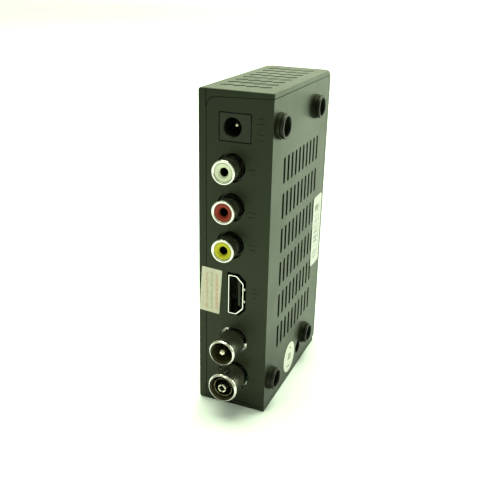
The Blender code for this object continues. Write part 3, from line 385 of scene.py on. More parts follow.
def join(piece, other):
    apply(piece, "BOOLEAN", object=other, operation="UNION")
    bpy.data.objects.remove(other)
    return piece


def soften(piece, width, segments=2):
    """Round every sharp edge a little."""
    return apply(piece, "BEVEL", width=width, segments=segments, limit_method="ANGLE",
                 angle_limit=math.radians(40.0), harden_normals=False)


def smooth(piece, angle=35.0):
    """Shade small roundings smoothly and let the broad flats keep their own normals."""
    alone(piece)
    bpy.ops.object.shade_smooth_by_angle(angle=math.radians(angle))
    return apply(piece, "WEIGHTED_NORMAL", keep_sharp=True)


def gather(name, pieces):
    """Put small separate solids into one object."""
    alone(pieces[0])
    for piece in pieces[1:]:
        piece.select_set(True)
    bpy.ops.object.join()
    pieces[0].name = name
    return pieces[0]


def slot_tool(name, size, thickness, middle, turn, onto=(0.0, 0.0, 0.0)):
    """A cutter with round ends, turned in its plane and then laid onto a wall."""
    width, length = size
    reach = (length - width) / 2
    alone()
    bpy.ops.mesh.primitive_cylinder_add(vertices=16, radius=width / 2, depth=thickness)
    tool = added(name)
    for side in (-1.0, 1.0):
        edit(tool, "VERT", lambda vert, side=side: vert.co.x * side > NEAR)
        bpy.ops.transform.translate(value=(side * reach, 0.0, 0.0))
        leave()
    turned(tool, (0.0, 0.0, turn))
    return turned(tool, onto, middle)


def repeat(piece, *rows):
    """Repeat a piece in rows, each given as a count and a step."""
    for count, step in rows:
        apply(piece, "ARRAY", count=count, use_relative_offset=False, use_constant_offset=True,
              constant_offset_displace=step, use_merge_vertices=False)
    return piece


def inset(radius, tip, steps):
    """Points of a round piece's profile, each so many mm in from a radius and down from a tip."""
    return [(radius - into * MM, tip - down * MM) for into, down in steps]


def wear(piece, finish, replaces, body=CASE):
    """Finish a piece: its material, its slot, the body it rides on and the nodes it stands for."""
    piece.data.materials.clear()
    piece.data.materials.append(finish)
    for face in piece.data.polygons:
        face.material_index = 0
    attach(piece, body)
    if replaces:
        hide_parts(*replaces)
    return piece


# Places taken from the frame

def middle_of(node):
    low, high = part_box(node)
    return (low + high) / 2


def seat_on(node, axis, face):
    """The middle of a node, brought along one axis onto a face of the case."""
    place = middle_of(node)
    place[axis] = face
    return place


def rear_socket(node):
    """A round rear piece: its seat, its radius, and how far its tip and its foot stand out of the rear."""
    low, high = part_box(node)
    return seat_on(node, Y, REAR_Y), (high.x - low.x) / 2, REAR_Y - low.y, REAR_Y - high.y


def grown(node, gap):
    low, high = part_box(node)
    room = Vector((gap, gap, gap))
    return low - room, high + room


# Materials

class Finish:
    """A node material that grows step by step from a Principled shader."""

    def __init__(self, name, colour, roughness, metallic=0.0, ior=1.45, tint=(1.0, 1.0, 1.0)):
        self.material = bpy.data.materials.new(name)
        self.material.use_nodes = True
        self.tree = self.material.node_tree
        self.shader = self.tree.nodes["Principled BSDF"]
        self.set(self.shader, **{"Base Color": (*colour, 1.0), "Roughness": roughness, "Metallic": metallic,
                                 "IOR": ior, "Specular Tint": (*tint, 1.0)})
        self.place = self.node("ShaderNodeTexCoord").outputs["Object"]

    def node(self, kind, **settings):
        made = self.tree.nodes.new(kind)
        for key, value in settings.items():
            setattr(made, key, value)
        return made

    def set(self, node, **values):
        for key, value in values.items():
            node.inputs[key].default_value = value
        return node

    def link(self, source, target):
        self.tree.links.new(source, target)

    def noise(self, scale, detail=3.0, stretch=None):
        """Noise with features of 1 / scale metres, stretched along the axes if asked."""
        texture = self.set(self.node("ShaderNodeTexNoise"), Scale=scale, Detail=detail, Roughness=0.6)
        source = self.place
        if stretch:
            mapping = self.set(self.node("ShaderNodeMapping"), Scale=stretch)
            self.link(source, mapping.inputs["Vector"])
            source = mapping.outputs["Vector"]
        self.link(source, texture.inputs["Vector"])
        return texture.outputs["Fac"]

    def range(self, source, low=0.0, high=1.0, start=0.3, end=0.7):
        """A value between start and end, brought to lie between low and high."""
        mapped = self.set(self.node("ShaderNodeMapRange"), **{"From Min": start, "From Max": end,
                                                              "To Min": low, "To Max": high})
        self.link(source, mapped.inputs["Value"])
        return mapped.outputs["Result"]

    def math(self, operation, first, second=None):
        made = self.node("ShaderNodeMath", operation=operation)
        for index, value in enumerate((first, second)):
            if value is None:
                continue
            if isinstance(value, (int, float)):
                made.inputs[index].default_value = value
            else:
                self.link(value, made.inputs[index])
        return made.outputs["Value"]

    def product(self, first, *others):
        for other in others:
            first = self.math("MULTIPLY", first, other)
        return first

    def between(self, value, low, high):
        """One where a value lies between low and high, and nought elsewhere."""
        return self.product(self.math("GREATER_THAN", value, low), self.math("LESS_THAN", value, high))

    def axis(self, index, origin=0.0):
        """Place along one axis, counted from an origin."""
        split = self.node("ShaderNodeSeparateXYZ")
        self.link(self.place, split.inputs["Vector"])
        return self.math("SUBTRACT", split.outputs[index], origin)

    def mix(self, factor, first, second):
        """A colour between two, by a factor; each is a colour or a socket."""
        made = self.node("ShaderNodeMix", data_type="RGBA")
        self.link(factor, made.inputs["Factor"])
        for name, value in (("A", first), ("B", second)):
            socket = [item for item in made.inputs if item.name == name and item.type == "RGBA"][0]
            if isinstance(value, tuple):
                socket.default_value = (*value, 1.0)
            else:
                self.link(value, socket)
        return [item for item in made.outputs if item.type == "RGBA"][0]

    def mottled(self, cloud, first, second):
        """A colour that drifts between two with a cloudy pattern."""
        return self.mix(self.range(cloud), first, second)

    def colour(self, source):
        self.link(source, self.shader.inputs["Base Color"])
        return self

    def roughness(self, source):
        self.link(source, self.shader.inputs["Roughness"])
        return self

    def bump(self, source, distance, strength=1.0):
        made = self.set(self.node("ShaderNodeBump"), Distance=distance, Strength=strength)
        self.link(source, made.inputs["Height"])
        self.link(made.outputs["Normal"], self.shader.inputs["Normal"])
        return self


def textured_plastic():
    """Spark-textured black moulding: fine grain and a broad cloudy sheen."""
    made = Finish("case_plastic", (0.0036, 0.0048, 0.0016), 0.5, ior=1.405, tint=(0.88, 0.97, 0.72))
    cloud = made.noise(45.0, 2.0)
    grain = made.noise(3200.0, 2.0)
    made.colour(made.mottled(cloud, (0.0036, 0.0048, 0.0016), (0.0070, 0.0085, 0.0036)))
    sheen = made.math("ADD", made.math("MULTIPLY", cloud, 0.6), made.math("MULTIPLY", grain, 0.4))
    made.roughness(made.range(sheen, 0.36, 0.5))
    return made.bump(grain, 0.03 * MM, 0.35).material


def moulded_plastic(name, colour, roughness, ior=1.45, tint=(1.0, 1.0, 1.0)):
    """Smooth plastic whose colour and shine drift a little."""
    made = Finish(name, colour, roughness, ior=ior, tint=tint)
    cloud = made.noise(120.0)
    lighter = tuple(min(1.0, value * 1.25 + 0.003) for value in colour)
    made.colour(made.mottled(cloud, colour, lighter))
    made.roughness(made.range(cloud, roughness * 0.85, roughness * 1.2))
    return made.bump(made.noise(900.0), 0.01 * MM, 0.3).material


def polished_metal(name, colour, roughness):
    """Bright plating with a slightly cloudy shine and no marks."""
    made = Finish(name, colour, roughness, 1.0)
    cloud = made.noise(160.0)
    made.colour(made.mottled(cloud, tuple(value * 0.86 for value in colour), colour))
    return made.roughness(made.range(cloud, roughness * 0.9, roughness * 1.15)).material


def plated_metal(name, colour, roughness):
    """Plated or rolled metal with faint drawing marks and a cloudy colour."""
    made = Finish(name, colour, roughness, 1.0)
    streaks = made.noise(900.0, 4.0, (1.0, 0.12, 1.0))
    made.colour(made.mottled(made.noise(260.0), tuple(value * 0.72 for value in colour), colour))
    made.roughness(made.range(streaks, roughness * 0.7, roughness * 1.5))
    return made.bump(streaks, 0.004 * MM, 0.4).material


def rubber():
    made = Finish("foot_rubber", (0.005, 0.006, 0.004), 0.5, ior=1.36)
    grain = made.noise(2200.0)
    made.colour(made.mottled(made.noise(300.0), (0.003, 0.004, 0.002), (0.008, 0.009, 0.006)))
    made.roughness(made.range(grain, 0.34, 0.55))
    return made.bump(grain, 0.01 * MM, 0.3).material


def board_laminate():
    """Green board with a copper pattern under its lacquer."""
    made = Finish("board_laminate", (0.015, 0.09, 0.04), 0.4)
    tracks = made.node("ShaderNodeTexBrick", offset=0.5)
    made.set(tracks, **{"Scale": 260.0, "Mortar Size": 0.03})
    made.link(made.place, tracks.inputs["Vector"])
    lines = made.range(tracks.outputs["Fac"], 0.0, 1.0, 0.0, 1.0)
    made.colour(made.mix(lines, (0.012, 0.075, 0.035), (0.03, 0.16, 0.07)))
    return made.bump(lines, 0.02 * MM, 0.5).material


def smoked_window():
    """Dark red-brown acrylic, polished, with the odd fine scuff."""
    made = Finish("smoked_window", (0.022, 0.005, 0.004), 0.06, ior=1.49)
    scuffs = made.noise(1500.0, 5.0, (0.05, 1.0, 1.0))
    made.colour(made.mottled(made.noise(60.0), (0.016, 0.004, 0.003), (0.03, 0.007, 0.005)))
    return made.roughness(made.range(scuffs, 0.04, 0.16, 0.45, 0.8)).material


def unlit_segments():
    """Display segments behind the window, switched off."""
    made = Finish("display_segments", (0.06, 0.028, 0.022), 0.4)
    return made.roughness(made.range(made.noise(800.0), 0.3, 0.5)).material


def seal_paper(low, high):
    """Pale brittle seal with rows of faint red and grey dashes."""
    made = Finish("seal_paper", (0.55, 0.56, 0.38), 0.55)
    across = made.axis(X, low.x)
    along = made.axis(Z, low.z)
    row = made.math("FRACT", made.math("DIVIDE", across, SEAL_ROW))
    printed = made.product(made.between(along, 1.6 * MM, high.z - low.z - 1.8 * MM),
                           made.between(across, 1.5 * MM, high.x - low.x - 1.2 * MM))
    strokes = made.math("GREATER_THAN", made.noise(1500.0, 1.0, (1.0, 1.0, 1.2)), 0.46)
    ink = made.product(made.between(row, 0.28, 0.82), printed, strokes, 0.55)
    grey = made.math("GREATER_THAN", made.math("FRACT", made.math("DIVIDE", across, 3 * SEAL_ROW)), 0.55)
    print_colour = made.mix(grey, (0.52, 0.20, 0.11), (0.30, 0.27, 0.22))
    paper = made.mottled(made.noise(500.0), (0.55, 0.50, 0.42), (0.64, 0.58, 0.50))
    made.colour(made.mix(ink, paper, print_colour))
    return made.bump(made.noise(700.0), 0.02 * MM, 0.3).material


def barcode_paper(low, high):
    """Coated pale label: a run of bars, then a row of short dashes."""
    made = Finish("label_paper", (0.72, 0.76, 0.62), 0.4)
    across = made.axis(Y, low.y)
    along = made.axis(Z, low.z)
    lines = made.node("ShaderNodeTexWhiteNoise", noise_dimensions="1D")
    made.link(made.math("FLOOR", made.math("DIVIDE", along, LABEL_BAR)), lines.inputs["W"])
    bars = made.product(made.math("GREATER_THAN", lines.outputs["Value"], 0.5),
                        made.between(across, 2.2 * MM, 6.6 * MM))
    dashes = made.product(made.math("GREATER_THAN", made.noise(1500.0, 1.0, (1.0, 2.0, 0.7)), 0.52),
                          made.between(across, 7.4 * MM, 8.6 * MM))
    printed = made.between(along, LABEL_MARGIN, high.z - low.z - LABEL_MARGIN)
    ink = made.product(made.math("ADD", bars, dashes), printed, 0.9)
    paper = made.mottled(made.noise(400.0), (0.39, 0.365, 0.38), (0.46, 0.425, 0.44))
    made.colour(made.mix(ink, paper, (0.08, 0.085, 0.07)))
    return made.bump(made.noise(800.0), 0.01 * MM, 0.3).material


def plain_paper():
    made = Finish("inspection_paper", (0.74, 0.77, 0.66), 0.42)
    made.colour(made.mottled(made.noise(400.0), (0.50, 0.475, 0.47), (0.58, 0.55, 0.535)))
    return made.bump(made.noise(800.0), 0.01 * MM, 0.3).material


def stamp_ink():
    made = Finish("stamp_ink", (0.05, 0.05, 0.05), 0.6)
    return made.colour(made.mottled(made.noise(1200.0), (0.03, 0.03, 0.03), (0.12, 0.12, 0.11))).material


# Case

def build_cover(finish):
    """Roof and both end walls in one moulding, with slanted vents and a post for the case screw."""
    piece = block("cover", *COVER)
    for end in (0.0, LENGTH):
        bevel(piece, both(at(X, ROOF_X), at(Z, end)), ROOF_EDGE, 5)
    bevel(piece, at(Y, REAR_Y), REAR_EDGE)
    cut(piece, block("hollow", (ROOF_X + ROOF_WALL, INNER_Y, END_WALL),
                     (UNDER_X + PAST, SPLIT_Y + PAST, LENGTH - END_WALL)))
    mouth = block("mouth", (ROOF_X + LIP_AT_ROOF, REAR_Y - PAST, END_WALL + LIP_TAPER),
                  (UNDER_X + PAST, INNER_Y + PAST, LENGTH - END_WALL - LIP_TAPER))
    taper_opening(mouth, UNDER_X + PAST, END_WALL)
    bevel(mouth, both(at(X, ROOF_X + LIP_AT_ROOF), running(Y)), LIP_CORNER, 10)
    cut(piece, mouth, end_slots(), roof_slots())
    soften(piece, RIM)
    cut(piece, *seam_lines())
    screw = seat_on("case_screw", X, ROOF_X + ROOF_WALL - SEAM)
    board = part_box("main_board")[0].x
    join(piece, rod("post", POST_RADIUS, 0.0, board - ROOF_X - 2 * ROOF_WALL, screw, "under", 32))
    return wear(smooth(piece), finish, ["top_cover"])


def taper_opening(piece, wide_x, wall):
    """Spread a block's far side in Z so that its ends lie a wall's thickness from the case's ends."""
    low = min(vert.co.z for vert in piece.data.vertices)
    factor = (LENGTH / 2 - wall) / (LENGTH / 2 - low)
    edit(piece, "VERT", at(X, wide_x))
    bpy.ops.transform.resize(value=(1.0, 1.0, factor), center_override=(wide_x, 0.0, LENGTH / 2))
    leave()


def end_slots():
    """Cutters for the slanted vents, straight through both end walls."""
    slots = slot_tool("end_slots", SLANT_VENT, LENGTH + 2 * PAST,
                      (END_FIRST[0], REAR_Y + END_FIRST[1], LENGTH / 2), SLANT)
    across, forward = (END_PITCH[0], 0.0, 0.0), (0.0, END_PITCH[1], 0.0)
    return repeat(slots, (END_COUNT[0], across), (END_COUNT[1], forward))


def roof_slots():
    first_row = (LENGTH - ROOF_PITCH[1] * (ROOF_COUNT[1] - 1)) / 2
    slots = slot_tool("roof_slots", SLANT_VENT, 4 * ROOF_WALL, (ROOF_X, REAR_Y + ROOF_FIRST, first_row),
                      SLANT, ONTO_SIDE)
    forward, up = (0.0, ROOF_PITCH[0], 0.0), (0.0, 0.0, ROOF_PITCH[1])
    return repeat(slots, (ROOF_COUNT[0], forward), (ROOF_COUNT[1], up))


def seam_lines():
    """Cutters for the fine grooves that carry on the seam to the case's ends."""
    line = END_WALL + LIP_TAPER + LIP_CORNER
    return [block("seam_line", (ROOF_X + LIP_AT_ROOF - SEAM, REAR_Y - PAST, low),
                  (ROOF_X + LIP_AT_ROOF, REAR_Y + STRIP_DEPTH, high))
            for low, high in ((-PAST, line), (LENGTH - line, LENGTH + PAST))]


def build_shell(finish):
    """Underside and rear panel in one moulding, with the feet's wells, the slots and the socket holes."""
    low = (ROOF_X + LIP_AT_ROOF + SEAM, REAR_Y, END_WALL + LIP_TAPER + SEAM)
    piece = block("shell", low, (UNDER_X, SPLIT_Y, LENGTH - low[2]))
    taper_opening(piece, UNDER_X, END_WALL + SEAM)
    bevel(piece, both(at(X, low[0]), running(Y)), LIP_CORNER - SEAM, 10)
    cut(piece, block("inside", (ROOF_X, INNER_Y, -PAST), (INNER_X, FRONT_Y, LENGTH + PAST)))
    feet = [seat_on(node, X, UNDER_X) for node in FEET]
    screw = seat_on("case_screw", X, UNDER_X)
    for foot in feet:
        join(piece, foot_boss(foot))
    join(piece, rod("screw_boss", SCREW_BOSS_RADIUS, -SCREW_RECESS_DEPTH - FOOT_WELL_WALL, -PLATE_WALL / 2,
                    screw, "under"))
    for foot in feet:
        cut(piece, rod("well", FOOT_WELL_RADIUS, -FOOT_WELL_DEPTH, 4 * PAST, foot, "under"))
    cut(piece, rod("recess", SCREW_RECESS_RADIUS, -SCREW_RECESS_DEPTH, 4 * PAST, screw, "under", 48))
    cut(piece, plate_slots(), *socket_tools())
    soften(piece, RIM)
    return wear(smooth(piece), finish, ["bottom_shell"])


def foot_boss(seat):
    """The cup inside the shell that holds a foot, and the low ring round it outside."""
    cup = FOOT_WELL_RADIUS + FOOT_WELL_WALL
    profile = [(cup, -FOOT_WELL_DEPTH - FOOT_WELL_WALL), (cup, -PLATE_WALL / 2),
               (FOOT_BASE_RADIUS, -PLATE_WALL / 2), (FOOT_BASE_RADIUS, FOOT_BASE_HEIGHT)]
    return lathe("boss", profile, seat, "under")


def plate_slots():
    """Cutters for the field of long slots in the underside."""
    first = (INNER_X + PLATE_WALL / 2, REAR_Y + PLATE_FIRST[0], PLATE_FIRST[1])
    slots = slot_tool("plate_slots", PLATE_VENT, 3 * PLATE_WALL, first, math.pi / 2, ONTO_SIDE)
    forward, up = (0.0, PLATE_PITCH[0], 0.0), (0.0, 0.0, PLATE_PITCH[1])
    return repeat(slots, (PLATE_COUNT[0], forward), (PLATE_COUNT[1], up))


def socket_tools():
    """Cutters for every opening in the rear panel."""
    tools = [block("dc_hole", *through_panel(*grown("dc_jack_body", DC_GAP)))]
    for colour in RCA_COLOURS:
        tools.append(panel_hole(f"rca_{colour}_shell", RCA_HOLE_RADIUS))
    for way in RF_SHELLS:
        radius = rear_socket(f"rf_{way}_shell")[1]
        tools.append(panel_hole(f"rf_{way}_shell", radius + RF_HOLE_GAP))
    low, high = grown("hdmi_shell", HDMI_GAP)
    hole = block("hdmi_hole", *through_panel(low, high))
    tools.append(bevel(hole, both(at(X, high.x), running(Y)), HDMI_CHAMFER, 1))
    return tools


def through_panel(low, high):
    """A box stretched to pass through the rear panel."""
    return (low.x, REAR_Y - PAST, low.z), (high.x, INNER_Y + PAST, high.z)


def panel_hole(node, radius):
    return rod("hole", radius, -2 * PANEL_WALL, PANEL_WALL, seat_on(node, Y, REAR_Y), "rear")


def build_front(finish):
    """Front panel with its window bed, button holes and USB opening."""
    piece = block("fascia", (ROOF_X, SPLIT_Y + SEAM, 0.0), (UNDER_X, FRONT_Y, LENGTH))
    bevel(piece, running(Y), FRONT_CORNER, 8)
    bevel(piece, at(Y, FRONT_Y), FRONT_EDGE, 5)
    low, high = grown("display_window", SEAM)
    cut(piece, block("window_bed", low, (high.x, FRONT_Y + PAST, high.z)))
    low, high = grown("display_window", -WINDOW_LEDGE)
    cut(piece, block("sight", (low.x, SPLIT_Y - PAST, low.z), (high.x, FRONT_Y, high.z)))
    for name in BUTTONS:
        seat = seat_on(f"{name}_button", Y, FRONT_Y)
        cut(piece, rod("button_hole", BUTTON_RADIUS + SEAM, -2 * FRONT_SKIN, PAST, seat, "front"))
        cut(piece, rod("flange_room", FLANGE_RADIUS + SEAM, -2 * FRONT_SKIN, -FRONT_SKIN, seat, "front"))
    low, high = grown("usb_shell", SEAM)
    cut(piece, block("usb_opening", (low.x, SPLIT_Y - PAST, low.z), (high.x, FRONT_Y + PAST, high.z)))
    soften(piece, RIM)
    return wear(smooth(piece), finish, ["front_panel"])


def build_feet(finish):
    """A ring with a sleeve below it, pressed into each well."""
    for node in FEET:
        low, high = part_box(node)
        outer = (high.y - low.y) / 2
        foot, top = low.x - UNDER_X, high.x - UNDER_X
        shoulder = FOOT_BASE_HEIGHT + SEAM / 2
        sleeve = FOOT_WELL_RADIUS - SEAM
        profile = [(FOOT_BORE_RADIUS, foot), (sleeve, foot), (sleeve, shoulder), (outer, shoulder),
                   (outer, top), (FOOT_BORE_RADIUS + SEAM, top), (FOOT_BORE_RADIUS, top - SEAM)]
        piece = lathe(node.replace("foot_ring", "foot_sleeve"), profile, seat_on(node, X, UNDER_X), "under",
                      hollow=True)
        soften(piece, 0.2 * MM, 3)
        wear(smooth(piece), finish, [node])


def build_screw(finish):
    low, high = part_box("case_screw")
    head = (high.y - low.y) / 2
    seat = seat_on("case_screw", X, high.x)
    foot = low.x - high.x
    shank, rise = SCREW_SHANK_RADIUS, SCREW_HEAD_RISE
    profile = [(shank * 0.4, foot), (shank, foot + shank), (shank, -rise), (head, -rise),
               (head, -rise * 0.45), (head * 0.8, -rise * 0.12), (head * 0.35, 0.0)]
    piece = lathe("cover_screw", profile, seat, "under", 40)
    for across, up in ((SCREW_CROSS, head * 0.55), (head * 0.55, SCREW_CROSS)):
        cut(piece, block("cross", (seat.x - rise * 0.6, seat.y - across, seat.z - up),
                         (seat.x + PAST, seat.y + across, seat.z + up)))
    soften(piece, 0.06 * MM)
    wear(smooth(piece), finish, ["case_screw"])


def build_marks(finish):
    """Small raised bars beside the sockets, where the case is marked."""
    bars = []
    for node, (across, width, count, drop) in MARKS.items():
        height = middle_of(node).z - drop
        for step in range(count):
            half = width / 2 * (1.0 if step % 2 else MARK_SHORTER)
            middle = height + (step - (count - 1) / 2) * MARK_PITCH
            bar = block("mark", (UNDER_X + across - half, REAR_Y - MARK_RISE, middle - MARK_HALF),
                        (UNDER_X + across + half, REAR_Y + 0.1 * MM, middle + MARK_HALF))
            bars.append(bevel(bar, at(Y, REAR_Y - MARK_RISE), 0.08 * MM, 2))
    wear(smooth(gather("socket_marks", bars)), finish, [])


# Rear sockets

def build_power_socket(body_finish, metal_finish):
    low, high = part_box("dc_jack_body")
    piece = block("power_socket", low, high)
    seat = seat_on("dc_jack_pin", Y, low.y)
    funnel = DC_BARREL_RADIUS + DC_FUNNEL
    barrel = [(DC_BARREL_RADIUS, -DC_BARREL_DEPTH), (DC_BARREL_RADIUS, -DC_FUNNEL - 0.05 * MM), (funnel, 0.0),
              (funnel, PAST)]
    cut(piece, lathe("barrel", barrel, seat, "rear"))
    leaf_low, leaf_high = grown("dc_jack_leaf", LEAF_GAP)
    cut(piece, block("leaf_room", leaf_low, (leaf_high.x - LEAF_GAP + LEAF_ROOM, leaf_high.y, leaf_high.z)))
    cut(piece, rod("pin_hole", DC_PIN_HOLE_RADIUS, *DC_PIN_HOLE, seat, "rear", 32))
    soften(piece, 0.1 * MM)
    wear(smooth(piece), body_finish, ["dc_jack_body"])

    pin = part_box("dc_jack_pin")
    radius = (pin[1].x - pin[0].x) / 2
    pin_piece = domed_pin("power_pin", radius, low.y - pin[1].y, low.y - pin[0].y, seat, 32, 6)
    wear(smooth(pin_piece, 50.0), metal_finish, ["dc_jack_pin"])
    build_power_leaf(metal_finish)


def build_power_leaf(finish):
    """The sprung leaf beside the pin, which a plug pushes aside."""
    low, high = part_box("dc_jack_leaf")
    piece = block("power_leaf", low, high)
    bevel(piece, both(at(Y, low.y), at(X, low.x)), 0.2 * MM)
    soften(piece, 0.04 * MM)
    wear(smooth(piece), finish, ["dc_jack_leaf"], "dc_contact")


def build_phono(colour, shell_finish, insert_finish, contact_finish):
    """One phono socket: a rolled metal shell, a coloured insert and a split contact tube."""
    seat, outer, tip, foot = rear_socket(f"rca_{colour}_shell")
    profile = [(outer - RCA_WALL, foot), (outer - 0.05 * MM, foot)] + inset(outer, tip, RCA_ROLLED_EDGE)
    shell = lathe(f"phono_{colour}_shell", profile, seat, "rear", hollow=True)
    wear(smooth(shell, 50.0), shell_finish, [f"rca_{colour}_shell"])
    build_phono_insert(colour, seat, outer - RCA_LIP, foot, insert_finish)
    build_phono_contact(colour, seat, contact_finish)


def build_phono_insert(colour, seat, lip, foot, finish):
    rim, face = rear_socket(f"rca_{colour}_insert")[1:3]
    profile = [(RCA_BORE, foot), (rim, foot), (rim, face - 0.9 * MM)]
    profile += inset(lip, face, [(0.08, 0.8), (0.08, 0.08), (0.16, 0.0)]) + inset(RCA_BORE, face, RCA_FUNNEL)
    insert = lathe(f"phono_{colour}_insert", profile, seat, "rear", hollow=True)
    wear(smooth(insert), finish, [f"rca_{colour}_insert"])


def build_phono_contact(colour, seat, finish):
    node = f"rca_{colour}_contact"
    radius, tip, foot = rear_socket(node)[1:]
    bore = radius - CONTACT_WALL
    profile = [(bore, foot), (radius, foot), (radius, tip - 0.2 * MM), (radius - 0.1 * MM, tip), (bore, tip)]
    contact = lathe(f"phono_{colour}_contact", profile, seat, "rear", 32, hollow=True)
    wear(smooth(split_tip(contact, node, *RCA_SLIT)), finish, [node])


def split_tip(piece, node, width, depth):
    """Slit a contact tube crosswise down from its tip."""
    low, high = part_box(node)
    centre = middle_of(node)
    reach = high.x - low.x
    for across, up in ((width / 2, reach), (reach, width / 2)):
        cut(piece, block("split", (centre.x - across, low.y - PAST, centre.z - up),
                         (centre.x + across, low.y + depth, centre.z + up)))
    return piece


def build_hdmi(shell_finish, tongue_finish, contact_finish):
    """Folded sleeve, chamfered towards the underside, with two spring tabs on that side."""
    low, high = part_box("hdmi_shell")
    piece = block("hdmi_sleeve", low, high)
    bevel(piece, both(at(X, high.x), running(Y)), HDMI_CHAMFER, 1)
    bevel(piece, running(Y), 0.35 * MM)
    wall = Vector((HDMI_WALL, -PAST, HDMI_WALL))
    inside = block("inside", low + wall, high - wall)
    bevel(inside, both(at(X, high.x - HDMI_WALL), running(Y)), HDMI_CHAMFER - 0.1 * MM, 1)
    bevel(inside, running(Y), 0.2 * MM)
    cut(piece, inside)
    top = high.x + HDMI_SPRING_RISE
    front = low.y + 0.9 * MM
    for place in (-HDMI_SPRING_PLACE, HDMI_SPRING_PLACE):
        middle = (low.z + high.z) / 2 + place
        tab = block("tab", (high.x - 0.2 * MM, front, middle - 0.4 * MM),
                    (top, low.y + 4.0 * MM, middle + 0.4 * MM))
        join(piece, bevel(tab, both(at(X, top), at(Y, front)), 0.3 * MM))
    soften(piece, 0.08 * MM)
    wear(smooth(piece), shell_finish, ["hdmi_shell"])
    build_hdmi_core(low.x + HDMI_BLADE_PLACE, tongue_finish, contact_finish)


def build_hdmi_core(blade_x, tongue_finish, contact_finish):
    """The moulded base, the blade that stands out of it, and a row of contacts on the blade."""
    low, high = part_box("hdmi_tongue")
    base = block("hdmi_core", (low.x, high.y - HDMI_CORE_DEPTH, low.z), high)
    bevel(base, both(at(X, high.x), running(Y)), HDMI_CHAMFER - 0.3 * MM, 1)
    middle = (low.z + high.z) / 2
    side = middle - HDMI_BLADE_HALF
    blade = block("blade", (blade_x - 0.5 * MM, low.y, side),
                  (blade_x + 0.5 * MM, high.y - PAST, middle + HDMI_BLADE_HALF))
    join(base, bevel(blade, at(Y, low.y), 0.2 * MM))
    soften(base, 0.05 * MM)
    wear(smooth(base), tongue_finish, ["hdmi_tongue"])
    strip = block("hdmi_contacts", (blade_x - 0.55 * MM, low.y + 1.2 * MM, side + 0.35 * MM),
                  (blade_x - 0.47 * MM, low.y + 6.0 * MM, side + 0.6 * MM))
    repeat(strip, (HDMI_CONTACT_COUNT, (0.0, 0.0, HDMI_CONTACT_PITCH)))
    wear(smooth(strip), contact_finish, [])


def build_aerials(shell_finish, insert_finish, pin_finish, petal_finish):
    for way, (wall, mouth, slope) in RF_SHELLS.items():
        seat, outer, tip, foot = rear_socket(f"rf_{way}_shell")
        profile = aerial_profile(outer, wall, mouth, slope, tip, foot)
        shell = lathe(f"aerial_{way}_shell", profile, seat, "rear", 80, hollow=True)
        wear(smooth(shell, 50.0), shell_finish, [f"rf_{way}_shell"])
        build_liner(way, outer - wall - NEAR, wall - PANEL_WALL + SEAM, tip, seat, insert_finish)
        if way == "out":
            build_crimps(seat, outer, shell_finish)
        else:
            build_petals(RF_NECK_RADIUS - wall - SEAM, tip, seat, petal_finish)
    build_aerial_insert("out", insert_finish)
    build_aerial_pin(pin_finish)
    build_aerial_insert("in", insert_finish)
    build_aerial_tube(pin_finish)


def aerial_profile(outer, wall, mouth, slope, tip, foot):
    """Shell whose mouth slopes back to its full width, with a narrower neck inside the case."""
    inner = outer - wall
    body = outer - 0.1 * MM
    neck = RF_NECK_RADIUS
    shoulder = -PANEL_WALL + 0.1 * MM
    collar = tip - slope
    return ([(neck - wall, foot), (neck, foot), (neck, shoulder), (body, shoulder)]
            + inset(outer, collar, [(0.1, 0.8), (0.0, 0.7), (0.0, 0.0), (0.06, -0.12)])
            + inset(mouth, tip, [(-0.24, 0.12), (-0.14, 0.0), (0.0, 0.06), (0.0, 0.3)])
            + [(inner, tip - 0.5 * MM), (inner, shoulder + wall), (neck - wall, shoulder + wall)])


def build_liner(way, radius, foot, tip, seat, finish):
    """The brown insulating sleeve inside an aerial connector."""
    bore = radius - RF_LINER_WALL
    top = tip - 0.8 * MM
    profile = [(bore, foot), (radius, foot), (radius, top - 0.1 * MM), (radius - 0.1 * MM, top), (bore, top)]
    sleeve = lathe(f"aerial_{way}_liner", profile, seat, "rear", hollow=True)
    wear(smooth(sleeve), finish, [])


def build_crimps(seat, outer, finish):
    """Two bent tabs of the can that grip the outlet's foot inside the panel hole."""
    front = REAR_Y + 0.3 * MM
    top = outer + CRIMP_RISE
    tabs = []
    for turn in CRIMP_TURNS:
        tab = block("crimp", (-CRIMP_HALF, front, outer + NEAR), (CRIMP_HALF, INNER_Y + 0.1 * MM, top))
        bevel(tab, both(at(Y, front), at(Z, top)), 0.25 * MM)
        tabs.append(turned(tab, (0.0, math.radians(turn), 0.0), (seat.x, 0.0, seat.z)))
    wear(smooth(gather("aerial_out_crimps", tabs)), finish, [])


def build_petals(radius, tip, seat, finish):
    """The springy ring inside the aerial inlet, slit into six."""
    ring = [(radius - PETAL_WALL, -PANEL_WALL), (radius, -PANEL_WALL)]
    ring += inset(radius, tip, [(0.0, 2.2), (-0.25, 1.3), (-0.1, 1.0), (0.3, 1.2)])
    piece = lathe("aerial_in_petals", ring, seat, "rear", 72, hollow=True)
    for turn in PETAL_TURNS:
        slit = block("slit", (-PETAL_SLIT, -tip, -2 * radius), (PETAL_SLIT, -PAST, 2 * radius))
        cut(piece, turned(slit, (0.0, math.radians(turn), 0.0), seat))
    soften(piece, 0.05 * MM)
    wear(smooth(piece), finish, [])


